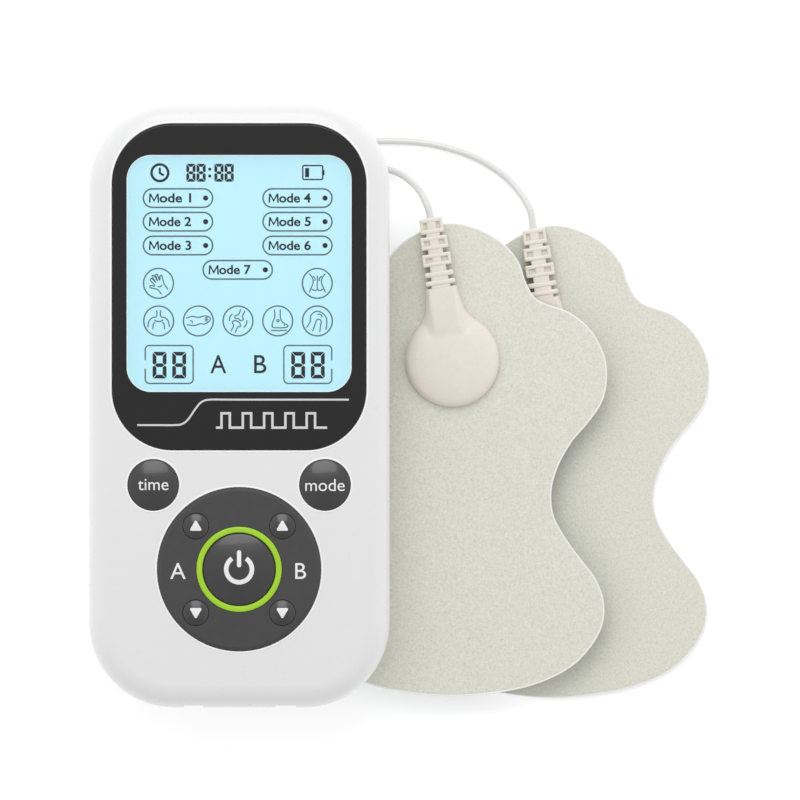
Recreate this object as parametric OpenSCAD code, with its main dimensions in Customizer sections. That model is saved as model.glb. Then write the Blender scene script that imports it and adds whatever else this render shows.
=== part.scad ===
// TENS unit: pocket nerve stimulator handset with two snap-on electrode pads
// and one lead set. Flat-lay arrangement: +Z out of the front face, +Y towards
// the handset's top end, origin on the resting plane under the handset's centre.

/* [Handset case] */
// Width of the handset
body_w = 65; // [64:0.5:66]
// Length of the handset
body_l = 131; // [130:0.5:132]
// Corner radius of the outline
corner_r = 18.4; // [18:0.1:19]
// Height of the back face over the resting plane
back_z = 8; // [8:0.1:8.4]
// Height of the front face over the resting plane
front_z = 30; // [30:0.1:30.4]
// Height of the seam between the two shells
seam_z = 19; // [18.8:0.1:19.2]
// Rounding of the front edge
front_f = 4.8; // [4.4:0.1:5]
// Rounding of the back edge
back_f = 6; // [5.6:0.1:6.2]
// Wall thickness of the shells
wall = 2; // [1.8:0.1:2.2]

/* [Display] */
// Width of the window lens
win_w = 54.8; // [54:0.1:55.4]
// Lower edge of the window lens
win_y0 = -9.8; // [-10:0.1:-9.6]
// Upper edge of the window lens
win_y1 = 60.6; // [60.2:0.1:60.8]
// Corner radius of the window lens
win_r = 13; // [12:0.1:13.4]
// Width of the visible display area
lcd_w = 48.6; // [48:0.1:49]
// Lower edge of the visible display area
lcd_y0 = 2.7; // [2.4:0.1:3]
// Upper edge of the visible display area
lcd_y1 = 53.9; // [53.5:0.1:54.2]
// Corner radius of the visible display area
lcd_r = 5.3; // [5:0.1:5.6]

/* [Keys] */
// Distance of the time and mode buttons from the centre line
key_x = 18.55; // [18.3:0.05:18.8]
// Position of the time and mode buttons along the handset
key_y = -17.4; // [-17.6:0.1:-17.2]
// Radius of the time and mode buttons
key_r = 5.45; // [5.3:0.05:5.5]
// Position of the dial plate along the handset
dial_y = -35.6; // [-35.8:0.1:-35.4]
// Radius of the dial plate
dial_r = 17.6; // [17.4:0.1:17.8]
// Radius of the power button
power_r = 7.85; // [7.8:0.01:7.86]
// Outer radius of the light ring
ring_r = 9.24; // [9.2:0.01:9.26]
// Offset of the arrow buttons from the dial centre, both ways
arrow_o = 9.35; // [9.3:0.01:9.4]
// Radius of the arrow buttons
arrow_r = 2.8; // [2.7:0.05:2.8]
// Travel of every button
key_travel = 0.6; // [0.5:0.1:0.6]

/* [Electrode pads] */
// Centre line of the front pad
pad_a_x = 46.1; // [46:0.1:46.4]
// Centre line of the rear pad
pad_b_x = 68.5; // [68.4:0.1:68.8]
// Underside of the front pad, which lies over the rear connector
pad_a_z = 5.8; // [5.8:0.1:5.9]
// Stud position of the front pad
stud_a_y = 9.7; // [9.6:0.1:9.8]
// Stud position of the rear pad
stud_b_y = 7.4; // [7.3:0.1:7.5]
// Thickness of the gel layer
gel_t = 0.5; // [0.4:0.1:0.5]
// Thickness of the conductive film
film_t = 0.2; // [0.1:0.1:0.2]
// Thickness of the fabric backing
fabric_t = 0.6; // [0.5:0.1:0.6]

/* [Snap connectors] */
// Radius of the snap connector's disc
snap_r = 10.2; // [10:0.1:10.4]
// Height of the snap connector
snap_h = 3.8; // [3.6:0.1:3.8]
// Length from the disc centre to the boot's end
snap_l = 30.85; // [30.5:0.05:31]
// Turn of both connectors away from the pad's centre line
snap_turn = 8.8; // [8:0.1:9.5]

/* [Leads] */
// Diameter of the thin branch leads
branch_d = 1.6; // [1.5:0.1:1.6]
// Diameter of the main lead
main_d = 2; // [1.8:0.1:2]
// Middle radius of the put-away coil
coil_r = 12; // [11.9:0.1:12]
// Width of the coil's bundle
coil_w = 12; // [11.6:0.1:12]
// Height of the coil's bundle
coil_h = 4.1; // [4:0.05:4.1]

/* [Lead sockets and plug] */
// Distance of the lead sockets from the centre line
socket_x = 10; // [9.8:0.1:10.2]
// Height of the lead sockets' axes
socket_z = 22.3; // [22.2:0.1:22.3]
// Bore radius of the lead sockets
socket_r = 1.3; // [1.28:0.01:1.32]
// Radius of the plug pin
pin_r = 1.25; // [1.22:0.01:1.25]

/* [Battery] */
// Radius of one cell
cell_r = 5.2; // [5:0.05:5.25]
// Length of one cell
cell_l = 44.5; // [44:0.1:44.5]
// Half width of the battery door
door_hw = 13; // [12.8:0.1:13]

/* [Belt clip] */
// Half width of the clip plate
clip_hw = 13; // [11:0.5:13]
// Thickness of the clip plate
clip_t = 2; // [1.8:0.1:2.2]
// Lower end of the clip plate
clip_y0 = -26; // [-26:0.5:-22]
// Position of the clip's hinge pin along the handset
hinge_y = 29.5; // [29:0.5:30]
// Height of the clip's hinge pin
hinge_z = 5; // [4.9:0.1:5.1]

/* [Hidden] */
$fn = 64;

shell_white = [0.93, 0.93, 0.94];
dark = [0.2, 0.2, 0.21];
ivory = [0.88, 0.85, 0.81];
fabric = [0.85, 0.85, 0.80];
steel = [0.75, 0.76, 0.78];
gold = [0.85, 0.7, 0.35];

board_z = 22;
board_t = 1.6;
board_top = board_z + board_t;
glass_z = 28.9;            // underside of the lens and of the dial plate
recess_z = front_z - 1.3;  // floor of the window and dial recesses
inner_top = front_z - 2.3; // inside of the front wall
screw_pos = [[12, 60.3], [-12, 60.3], [23.5, -51], [-23.5, -51]];
board_screw_pos = [[24.3, -40], [-24.3, -40], [24.3, -6], [-24.3, -6]];
post_pos = [[24.3, 44], [-24.3, 44]];
key_pos = [[-key_x, key_y], [key_x, key_y], [0, dial_y],
    [-arrow_o, dial_y + arrow_o], [-arrow_o, dial_y - arrow_o],
    [arrow_o, dial_y + arrow_o], [arrow_o, dial_y - arrow_o]];
snap_a_z = pad_a_z + gel_t + film_t + fabric_t + 0.1;
snap_b_z = gel_t + film_t + fabric_t + 0.1;
seam_c = 0.2;              // chamfer along the seam
rim_c = 0.45;              // chamfer round the window, the dial and the keys
exit_z = 2.1;              // lead axis over the connector's underside

// ---------- helpers ----------

// Half profile of a slab edge: corner centre at x = 0, rounded at the top end
module edge_top(r, z0, z1, f, groove = 0) {
    difference() {
        translate([0, z0]) square([r, z1 - z0]);
        if (groove > 0) translate([r, z0]) rotate(45) square(groove * sqrt(2), center = true);
        difference() {
            translate([r - f, z1 - f]) square([f + 1, f + 1]);
            translate([r - f, z1 - f]) circle(f);
        }
    }
}

// The same, rounded at the bottom end
module edge_bottom(r, z0, z1, f, groove = 0) {
    difference() {
        translate([0, z0]) square([r, z1 - z0]);
        if (groove > 0) translate([r, z1]) rotate(45) square(groove * sqrt(2), center = true);
        difference() {
            translate([r - f, z0 - 1]) square([f + 1, f + 1]);
            translate([r - f, z0 + f]) circle(f);
        }
    }
}

// Rounded slab: the child is the edge's half profile, swept round the outline
module slab(w, l, r, z0, z1) {
    for (mx = [0, 1], my = [0, 1])
        mirror([mx, 0, 0]) mirror([0, my, 0])
            translate([w / 2 - r, l / 2 - r, 0]) rotate_extrude(angle = 90) children();
    for (mx = [0, 1])
        mirror([mx, 0, 0]) translate([w / 2 - r, l / 2 - r, 0])
            rotate([90, 0, 0]) linear_extrude(l - 2 * r) children();
    for (my = [0, 1])
        mirror([0, my, 0]) translate([-(w / 2 - r), l / 2 - r, 0])
            rotate([90, 0, 90]) linear_extrude(w - 2 * r) children();
    translate([-(w / 2 - r), -(l / 2 - r), z0]) cube([w - 2 * r, l - 2 * r, z1 - z0]);
}

// Half profile of a recess with a chamfered mouth
function mouth(r) = [[0, recess_z], [r, recess_z], [r, front_z - rim_c],
    [r + rim_c + 0.1, front_z + 0.1], [0, front_z + 0.1]];

// Plain plate with four rounded corners, from corner [x0, y0] to [x1, y1]
module plate(x0, y0, x1, y1, r, z0, z1) {
    translate([x0 + r, y0, z0]) cube([x1 - x0 - 2 * r, y1 - y0, z1 - z0]);
    for (x = [x0, x1 - r]) translate([x, y0 + r, z0]) cube([r, y1 - y0 - 2 * r, z1 - z0]);
    for (c = [[x0 + r, y0 + r, 180], [x1 - r, y0 + r, 270], [x1 - r, y1 - r, 0], [x0 + r, y1 - r, 90]])
        translate([c[0], c[1], z0]) rotate([0, 0, c[2]])
            rotate_extrude(angle = 90) square([r, z1 - z0]);
}

// Catmull-Rom point between b and c
function spline(a, b, c, d, t) =
    0.5 * (2 * b + (c - a) * t + (2 * a - 5 * b + 4 * c - d) * t * t
    + (3 * b - a - 3 * c + d) * t * t * t);
function smooth(p, n) = [
    for (i = [0:len(p) - 2], k = [0:n - 1])
        spline(p[max(i - 1, 0)], p[i], p[i + 1], p[min(i + 2, len(p) - 1)], k / n),
    p[len(p) - 1]
];

function unit(v) = v / norm(v);
function tangent(p, i) = unit(p[min(i + 1, len(p) - 1)] - p[max(i - 1, 0)]);
// One ring of eight points round the path at point i
function ring(p, i, r) =
    let (t = tangent(p, i), s = unit(cross([0, 0, 1], t)), u = cross(t, s))
    [for (k = [0:7]) p[i] + r * (cos(45 * k + 22.5) * s + sin(45 * k + 22.5) * u)];
// Tube along a path, as one closed polyhedron
module tube(p, r) {
    n = len(p);
    pts = [for (i = [0:n - 1]) each ring(p, i, r)];
    sides = [for (i = [0:n - 2], k = [0:7])
        [8 * i + k, 8 * i + 8 + k, 8 * i + 8 + (k + 1) % 8, 8 * i + (k + 1) % 8]];
    polyhedron(pts, concat(sides, [[for (k = [0:7]) k], [for (k = [7:-1:0]) 8 * (n - 1) + k]]));
}

// ---------- handset case ----------

module case_outer_front() {
    slab(body_w, body_l, corner_r, seam_z, front_z) edge_top(corner_r, seam_z, front_z, front_f, seam_c);
}

module front_shell() color(shell_white) {
    difference() {
        union() {
            difference() {
                case_outer_front();
                slab(body_w - 2 * wall, body_l - 2 * wall, corner_r - wall, seam_z - 1, inner_top)
                    edge_top(corner_r - wall, seam_z - 1, inner_top, front_f - wall);
            }
            // screw bosses
            for (p = screw_pos) translate([p[0], p[1], seam_z]) cylinder(h = inner_top - seam_z + 0.5, r = 2.6);
        }
        for (p = screw_pos) translate([p[0], p[1], seam_z - 1]) cylinder(h = 7.5, r = 1.25);
        // window recess and display opening
        translate([0, (win_y0 + win_y1) / 2, 0])
            slab(win_w + 0.2, win_y1 - win_y0 + 0.2, win_r + 0.1, recess_z, front_z + 0.1)
                polygon(mouth(win_r + 0.1));
        plate(-lcd_w / 2 - 0.4, lcd_y0 - 0.4, lcd_w / 2 + 0.4, lcd_y1 + 0.4, lcd_r, inner_top - 1, front_z);
        // dial recess with its openings
        translate([0, dial_y, 0]) rotate_extrude() polygon(mouth(dial_r + 0.1));
        translate([0, dial_y, inner_top - 1]) cylinder(h = 3, r = ring_r + 0.06);
        for (i = [3:6]) translate([key_pos[i][0], key_pos[i][1], inner_top - 1]) cylinder(h = 3, r = arrow_r + 0.08);
        // time and mode buttons, with a small chamfer at the mouth
        for (i = [0:1]) translate([key_pos[i][0], key_pos[i][1], 0]) {
            translate([0, 0, inner_top - 1]) cylinder(h = 5, r = key_r + 0.08);
            translate([0, 0, front_z - rim_c]) cylinder(h = rim_c + 0.1, r1 = key_r + 0.08, r2 = key_r + 0.18 + rim_c);
        }
        // lead sockets through the end wall, each in a shallow groove
        for (s = [-1, 1]) {
            translate([s * socket_x, -body_l / 2 + 5, socket_z]) rotate([90, 0, 0]) cylinder(h = 10, r = 2.95);
            translate([s * socket_x - 2.15, -body_l / 2 - 1, seam_z - 1]) cube([4.3, 1.43, 20]);
        }
    }
}

module back_shell() color(shell_white) {
    difference() {
        union() {
            difference() {
                slab(body_w, body_l, corner_r, back_z, seam_z) edge_bottom(corner_r, back_z, seam_z, back_f, seam_c);
                slab(body_w - 2 * wall, body_l - 2 * wall, corner_r - wall, back_z + wall, seam_z + 1)
                    edge_bottom(corner_r - wall, back_z + wall, seam_z + 1, back_f - wall);
            }
            for (p = screw_pos) translate([p[0], p[1], back_z + 1]) cylinder(h = seam_z - back_z - 1, r = 2.9);
            for (p = concat(board_screw_pos, post_pos)) translate([p[0], p[1], back_z + 1]) cylinder(h = board_z - back_z - 1, r = 2.1);
            // battery box
            translate([-12.4, -48.6, back_z + 0.5]) cube([24.8, 50.4, 13.1]);
            // hinge lug of the belt clip
            translate([-6, hinge_y - 3, 3.2]) cube([12, 6, back_z + 1 - 3.2]);
        }
        translate([-11.2, -47.4, back_z]) cube([22.4, 48, 12.4]);
        // battery door opening, through the floor and the end wall
        translate([-door_hw - 0.1, -body_l / 2 - 1, back_z - 1]) cube([2 * door_hw + 0.2, body_l / 2 + 4.1, 2.6]);
        translate([-door_hw - 0.1, -body_l / 2 - 1, back_z - 1]) cube([2 * door_hw + 0.2, 7, 8.1]);
        for (p = screw_pos) translate([p[0], p[1], back_z - 1]) {
            cylinder(h = 15, r = 1.35);
            cylinder(h = 3.4, r = 2.3);
        }
        for (p = board_screw_pos) translate([p[0], p[1], board_z - 6]) cylinder(h = 8, r = 0.95);
        translate([-8, hinge_y, hinge_z]) rotate([0, 90, 0]) cylinder(h = 16, r = 1.02);
        translate([-2.2, hinge_y - 3.5, 2]) cube([4.4, 7, back_z - 2 - 0.6]);
        for (s = [-1, 1]) translate([s * socket_x - 2.15, -body_l / 2 - 1, back_z]) cube([4.3, 1.43, 20]);
    }
}

module window_lens() color([0.75, 0.85, 0.88, 0.35])
    plate(-win_w / 2, win_y0, win_w / 2, win_y1, win_r, glass_z, front_z);

module bezel_mask() color([0.05, 0.05, 0.06])
    difference() {
        plate(-win_w / 2, win_y0, win_w / 2, win_y1, win_r, recess_z, glass_z - 0.02);
        plate(-lcd_w / 2, lcd_y0, lcd_w / 2, lcd_y1, lcd_r, recess_z - 1, glass_z + 1);
    }

module lcd_panel() color([0.78, 0.94, 1])
    translate([-25.2, 1.8, 25.7]) cube([50.4, 53.1, 1.9]);

module backlight_diffuser() color([0.95, 0.97, 1])
    translate([-25.2, 4, 24]) cube([50.4, 50.9, 1.6]);

module lcd_holder() color([0.9, 0.9, 0.9])
    difference() {
        plate(-26.6, 0.2, 26.6, 56.4, 4, board_top + 0.05, 27.6);
        translate([-25.3, 1.7, board_z]) cube([50.6, 53.3, 8]);
    }

module lcd_connectors() color([0.9, 0.6, 0.65])
    translate([-22, 1.9, board_top + 0.05]) cube([44, 1.8, 25.65 - board_top - 0.05]);

module dial_plate() color([0.29, 0.29, 0.29])
    difference() {
        translate([0, dial_y, 0]) rotate_extrude()
            polygon([[0, glass_z - 0.15], [dial_r, glass_z - 0.15], [dial_r, front_z], [dial_r - 0.7, front_z + 0.45], [0, front_z + 0.45]]);
        translate([0, dial_y, 20]) cylinder(h = 20, r = ring_r + 0.06);
        for (i = [3:6]) translate([key_pos[i][0], key_pos[i][1], 20]) cylinder(h = 20, r = arrow_r + 0.08);
    }

module light_ring() color([0.65, 0.85, 0.17])
    translate([0, dial_y, 0]) difference() {
        translate([0, 0, 27]) cylinder(h = front_z + 0.55 - 27, r = ring_r);
        translate([0, 0, 20]) cylinder(h = 20, r = power_r + 0.08);
    }

// Button: domed cap, retaining flange under the wall, stem over its switch
module key(p, r, top, dome, flange) {
    translate([p[0], p[1], 0]) {
        rotate_extrude() polygon(concat(
            [[0, 26.7], [r, 26.7]],
            [for (k = [0:6]) [r * cos(15 * k) , top - dome + dome * sin(15 * k)]]));
        translate([0, 0, 26.7]) cylinder(h = 0.8, r = r + flange);
        translate([0, 0, 25.35]) cylinder(h = 1.6, r = 1.5);
    }
}

module button_time() color(dark) key(key_pos[0], key_r, front_z + 0.9, 0.9, 0.9);
module button_mode() color(dark) key(key_pos[1], key_r, front_z + 0.9, 0.9, 0.9);
module button_a_up() color(dark) key(key_pos[3], arrow_r, front_z + 1.1, 0.6, 0.7);
module button_a_down() color(dark) key(key_pos[4], arrow_r, front_z + 1.1, 0.6, 0.7);
module button_b_up() color(dark) key(key_pos[5], arrow_r, front_z + 1.1, 0.6, 0.7);
module button_b_down() color(dark) key(key_pos[6], arrow_r, front_z + 1.1, 0.6, 0.7);
// the power button's flange sits under the light ring
module button_power() color(dark)
    translate([0, dial_y, 0]) {
        rotate_extrude() polygon(concat(
            [[0, 26.2], [power_r, 26.2]],
            [for (k = [0:6]) [power_r * cos(15 * k), front_z + 0.2 + 1.1 * sin(15 * k)]]));
        translate([0, 0, 25.95]) cylinder(h = 0.7, r = power_r + 0.7);
        translate([0, 0, 25.35]) cylinder(h = 1, r = 1.5);
    }

// ---------- inside the handset ----------

module keypad_membrane() color([0.55, 0.58, 0.6])
    difference() {
        translate([-21.5, -47.5, board_top + 0.02]) cube([43, 36.5, 1]);
        translate([-20.9, -46.9, board_top - 1]) cube([41.8, 35.3, 1.65]);
    }

module dome_switches() color(steel)
    for (p = key_pos) translate([p[0] * 0.98, p[1], board_top]) {
        cylinder(h = 0.35, r = 1.8);
        translate([0, 0, 0.3]) cylinder(h = 0.2, r = 1.2);
    }

module main_board() color([0.1, 0.42, 0.25])
    difference() {
        plate(-26.8, -47.6, 26.8, 57, 5, board_z, board_top);
        for (p = board_screw_pos) translate([p[0], p[1], board_z - 1]) cylinder(h = 4, r = 1.1);
    }

module controller_chip() color([0.08, 0.08, 0.09])
    translate([-5, 16, board_z - 1.5]) cube([10, 10, 1.45]);

module output_transformers() color([0.75, 0.6, 0.2])
    for (s = [-1, 1]) translate([s * 9 - 5, 36, 13.5]) {
        cube([10, 9, 6]);
        translate([2.5, 1, 0]) cube([5, 7, board_z - 0.05 - 13.5]);
    }

module capacitors() color([0.15, 0.2, 0.4])
    for (s = [-1, 1], y = [12, 21]) translate([s * 18.5, y, 13]) cylinder(h = board_z - 0.05 - 13, r = 3.1);

module buzzer() color([0.07, 0.07, 0.07])
    translate([0, 50.5, 17]) difference() {
        cylinder(h = board_z - 0.05 - 17, r = 4.6);
        translate([0, 0, -1]) cylinder(h = 2.5, r = 1);
    }

module lead_socket(s) {
    difference() {
        union() {
            translate([s * socket_x, -body_l / 2 + 0.5, socket_z]) rotate([-90, 0, 0]) cylinder(h = 11.5, r = 2.9);
            translate([s * socket_x, -body_l / 2 + 2.3, socket_z]) rotate([-90, 0, 0]) cylinder(h = 1.2, r = 3.1);
            translate([s * socket_x - 0.8, -54.5, board_z - 0.32]) cube([1.6, 8, 0.28]);
        }
        translate([s * socket_x, -body_l / 2 - 1, socket_z]) rotate([-90, 0, 0]) cylinder(h = 11.5, r = socket_r);
    }
}
module lead_socket_a() color([0.2, 0.2, 0.22]) lead_socket(-1);
module lead_socket_b() color([0.2, 0.2, 0.22]) lead_socket(1);

module battery_cells() color([0.78, 0.55, 0.2])
    for (s = [-1, 1]) translate([s * 5.5, -23.4, 14.95]) rotate([s * 90, 0, 0]) {
        translate([0, 0, -cell_l / 2]) cylinder(h = cell_l - 1, r = cell_r);
        translate([0, 0, cell_l / 2 - 1.1]) cylinder(h = 1.1, r = 1.9);
    }

module battery_contacts() color(steel)
    for (s = [-1, 1]) translate([s * 5.5, 0, 14.95]) {
        // flat contact at the positive end
        translate([-4, s < 0 ? -0.3 + 0.6 : -47.15, -4]) cube([8, 0.25, 8]);
        // spring contact at the negative end
        translate([0, s < 0 ? -47.1 : 0.3, 0]) rotate([s < 0 ? -90 : 90, 0, 0]) {
            cylinder(h = 0.4, r = 3.6);
            for (k = [0:2]) translate([0, 0, 0.35 + 0.22 * k]) difference() {
                cylinder(h = 0.26, r = 3.2 - 0.45 * k);
                translate([0, 0, -1]) cylinder(h = 3, r = 2.3 - 0.45 * k);
            }
        }
    }

// Battery door: one bent strip that follows the floor and the end's rounding
module battery_door() color([0.9, 0.9, 0.91])
    difference() {
        translate([-door_hw, 0, 0]) rotate([90, 0, 90]) linear_extrude(2 * door_hw)
            difference() {
                union() {
                    translate([-body_l / 2, back_z + back_f]) square([1.5, 1]);
                    translate([-body_l / 2 + back_f, back_z]) square([body_l / 2 - back_f + 3, 1.5]);
                    translate([-body_l / 2, back_z]) square([back_f, back_f]);
                }
                difference() {
                    translate([-body_l / 2 - 1, back_z - 1]) square([back_f + 1, back_f + 1]);
                    translate([-body_l / 2 + back_f, back_z + back_f]) circle(back_f);
                }
                translate([-body_l / 2 + back_f, back_z + back_f]) circle(back_f - 1.5);
                translate([-body_l / 2 + 1.5, back_z + back_f]) square([5, 5]);
            }
        // finger grooves
        for (k = [0:4]) translate([-6, -6 - 2 * k, back_z - 0.5]) cube([12, 0.8, 0.9]);
        // the two lead grooves run on over the door
        for (s = [-1, 1]) translate([s * socket_x - 2.15, -body_l / 2 - 1, back_z - 1]) cube([4.3, 1.43, 20]);
    }

module belt_clip() color([0.9, 0.9, 0.91])
    difference() {
        union() {
            plate(-clip_hw, clip_y0, clip_hw, 32, 3.5, 0, clip_t);
            for (s = [-1, 1]) translate([s * 7.8 - 1.5, hinge_y - 2.2, clip_t - 0.5]) cube([3, 4.4, hinge_z - clip_t + 0.5]);
            for (s = [-1, 1]) translate([s * 7.8 - 1.5, hinge_y, hinge_z]) rotate([0, 90, 0]) cylinder(h = 3, r = 2.2);
            // gripping rib near the free end
            translate([-9, clip_y0 + 3, clip_t - 0.5]) cube([18, 1.5, 1.6]);
        }
        translate([-12, hinge_y, hinge_z]) rotate([0, 90, 0]) cylinder(h = 24, r = 1.05);
    }

module clip_pin() color(steel)
    translate([-9.6, hinge_y, hinge_z]) rotate([0, 90, 0]) cylinder(h = 19.2, r = 1);

module clip_spring() color(steel)
    translate([0, hinge_y, hinge_z]) rotate([0, 90, 0]) {
        for (k = [-2:2]) translate([0, 0, 0.66 * k]) rotate_extrude() translate([1.45, 0]) circle(0.3);
        translate([0, 0, -1.8]) difference() {
            cylinder(h = 3.6, r = 1.5);
            translate([0, 0, -1]) cylinder(h = 6, r = 1.15);
        }
    }

module case_screws() color(steel)
    for (p = screw_pos) translate([p[0], p[1], 0]) difference() {
        union() {
            translate([0, 0, back_z + 1]) cylinder(h = 1.4, r = 2.2);
            translate([0, 0, back_z + 2]) cylinder(h = 14.5, r = 1.2);
        }
        translate([-1.5, -0.25, back_z]) cube([3, 0.5, 1.6]);
        translate([-0.25, -1.5, back_z]) cube([0.5, 3, 1.6]);
    }

module board_screws() color(steel)
    for (p = board_screw_pos) translate([p[0], p[1], 0]) {
        translate([0, 0, board_top]) cylinder(h = 0.9, r = 1.8);
        translate([0, 0, board_z - 4.5]) cylinder(h = 6.5, r = 0.9);
    }

// ---------- electrode pads ----------

// Half outline from the top of the centre line to its bottom
half = [[0, 39.4], [5.2, 38.3], [10.7, 35.3], [14.4, 31], [15.9, 26.8], [18.6, 22.7],
    [25.4, 20], [30, 16.2], [32.9, 11], [33.6, 6], [32.7, 0.9], [29.9, -3.5],
    [26.1, -8], [23.2, -13], [21.6, -18.4], [22, -24], [24.8, -29.3],
    [28.1, -33.8], [31.1, -37.8], [32.9, -42.7], [32.6, -48], [29.6, -53.3],
    [24.6, -57.8], [17, -61.1], [8.5, -62.8], [0, -63.4]];

module pad_shape(inset) {
    h = smooth([for (p = half) [p[0] * (1 - inset / 30), (p[1] + 12) * (1 - inset / 50) - 12]], 2);
    n = len(h);
    polygon(concat(h, [for (i = [n - 2:-1:1]) [-h[i][0], h[i][1]]]));
}
module pad_layer(x, dy, sy, z0, t, inset) {
    difference() {
        translate([x, dy, z0]) linear_extrude(t) pad_shape(inset);
        translate([x, sy, z0 - 1]) cylinder(h = t + 2, r = 1.2);
    }
}
module pad_stud(x, sy, z0) {
    // eyelet through the layers with the snap post above
    translate([x, sy, 0]) rotate_extrude()
        polygon([[0, z0 + gel_t + 0.05], [1.1, z0 + gel_t + 0.05],
            [1.1, z0 + gel_t + film_t + fabric_t + 0.02], [3.6, z0 + gel_t + film_t + fabric_t + 0.02],
            [3.6, z0 + gel_t + film_t + fabric_t + 0.3], [1.7, z0 + gel_t + film_t + fabric_t + 0.3],
            [1.7, z0 + gel_t + film_t + fabric_t + 0.8], [1.9, z0 + gel_t + film_t + fabric_t + 1.2],
            [1.9, z0 + gel_t + film_t + fabric_t + 1.7], [1.5, z0 + gel_t + film_t + fabric_t + 2.1], [0, z0 + gel_t + film_t + fabric_t + 2.1]]);
}

module pad_a_backing() color(fabric) pad_layer(pad_a_x, 0, stud_a_y, pad_a_z + gel_t + film_t, fabric_t, 0);
module pad_a_film() color([0.1, 0.1, 0.1]) pad_layer(pad_a_x, 0, stud_a_y, pad_a_z + gel_t, film_t - 0.01, 1.2);
module pad_a_gel() color([0.85, 0.9, 0.88]) translate([pad_a_x, 0, pad_a_z]) linear_extrude(gel_t - 0.01) pad_shape(0.8);
module pad_a_stud() color(steel) pad_stud(pad_a_x, stud_a_y, pad_a_z);
module pad_b_backing() color(fabric) pad_layer(pad_b_x, -0.4, stud_b_y, gel_t + film_t, fabric_t, 0);
module pad_b_film() color([0.1, 0.1, 0.1]) pad_layer(pad_b_x, -0.4, stud_b_y, gel_t, film_t - 0.01, 1.2);
module pad_b_gel() color([0.85, 0.9, 0.88]) translate([pad_b_x, -0.4, 0]) linear_extrude(gel_t - 0.01) pad_shape(0.8);
module pad_b_stud() color(steel) pad_stud(pad_b_x, stud_b_y, 0);

// ---------- snap connectors, built along +Y and then turned ----------

module at_snap(x, y, z) translate([x, y, z]) rotate([0, 0, snap_turn]) children();

module snap_housing() {
    difference() {
        union() {
            rotate_extrude() polygon([[0, 0], [snap_r - 0.6, 0], [snap_r, 0.6], [snap_r, 1.5],
                [snap_r - 0.8, 2.3], [snap_r - 2.6, 3], [snap_r - 5.6, 3.6], [0, snap_h]]);
            translate([0, 0, 0.2]) linear_extrude(3) polygon([[-6.4, 7.4], [6.4, 7.4], [4.9, 10], [3.9, 12], [3.4, 15.9], [-3.4, 15.9], [-3.9, 12], [-4.9, 10]]);
            translate([-2.5, 3, 0.2]) cube([5, 12.9, snap_h - 0.2]);
        }
        translate([0, 0, -1]) cylinder(h = 3.9, r = 3.9);
    }
}
// Ribs of the boot: start and end along the axis, half width
boot_ribs = [[16.4, 17.5, 3.2], [18.3, 19.4, 3.1], [20.65, 23.3, 3.1], [24.3, 27.1, 2.9], [27.7, snap_l, 2.5]];
module snap_boot() {
    difference() {
        union() {
            translate([0, 15.95, exit_z]) rotate([-90, 0, 0]) cylinder(h = snap_l - 16.1, r1 = 1.6, r2 = 1.3);
            for (b = boot_ribs) translate([-b[2], b[0], exit_z - 1.8]) cube([2 * b[2], b[1] - b[0], 3.6]);
        }
        translate([0, snap_l - 3, exit_z]) rotate([-90, 0, 0]) cylinder(h = 4, r = branch_d / 2);
    }
}
module snap_socket() {
    difference() {
        cylinder(h = 2.5, r = 3.75);
        translate([0, 0, -1]) cylinder(h = 2, r = 3.68);
        translate([0, 0, -1]) cylinder(h = 3.3, r = 2);
    }
}

module snap_housing_a() color(ivory) at_snap(pad_a_x, stud_a_y, snap_a_z) snap_housing();
module snap_housing_b() color(ivory) at_snap(pad_b_x, stud_b_y, snap_b_z) snap_housing();
module snap_boot_a() color(ivory) at_snap(pad_a_x, stud_a_y, snap_a_z) snap_boot();
module snap_boot_b() color(ivory) at_snap(pad_b_x, stud_b_y, snap_b_z) snap_boot();
module snap_socket_a() color(gold) translate([pad_a_x, stud_a_y, snap_a_z + 0.3]) snap_socket();
module snap_socket_b() color(gold) translate([pad_b_x, stud_b_y, snap_b_z + 0.3]) snap_socket();

// ---------- lead set ----------

// a point on a connector's axis, in the shared frame
function on_snap(x, y, z, t) = [x - t * sin(snap_turn), y + t * cos(snap_turn), z + exit_z];
start_a = on_snap(pad_a_x, stud_a_y, snap_a_z, snap_l - 3);
start_b = on_snap(pad_b_x, stud_b_y, snap_b_z, snap_l - 3);

route_a = concat([start_a, on_snap(pad_a_x, stud_a_y, snap_a_z, snap_l + 1.5)], [
    [40.3, 44, 9], [39, 46.4, 7.8], [36.9, 48.6, 5.5], [34.4, 50.3, 3.2], [31, 51.3, 1.6],
    [26, 51.6, 0.9], [20, 51.3, 0.85], [14, 51, 0.85], [8, 51, 0.85], [3, 51, 0.85], [0, 50.6, 0.85], [-2.6, 49, 0.85],
    [-3.5, 47, 0.85], [-2.6, 45, 0.85], [0, 43.9, 0.85], [4, 43.8, 0.85], [8, 43.8, 0.85], [12, 43.7, 0.85],
    [14.5, 42.4, 0.85], [15.4, 40.3, 0.85], [14.5, 38.2, 0.85], [12, 37, 0.85], [6, 36.8, 0.85], [0, 36.8, 0.85],
    [-6, 36.8, 0.85], [-12, 36.4, 0.85], [-16.5, 34.5, 0.85], [-19.5, 31, 0.85], [-20.9, 26.5, 0.85],
    [-21.3, 21, 0.9], [-21.6, 15, 1.2], [-21.8, 9.5, 1.6]]);
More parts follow.
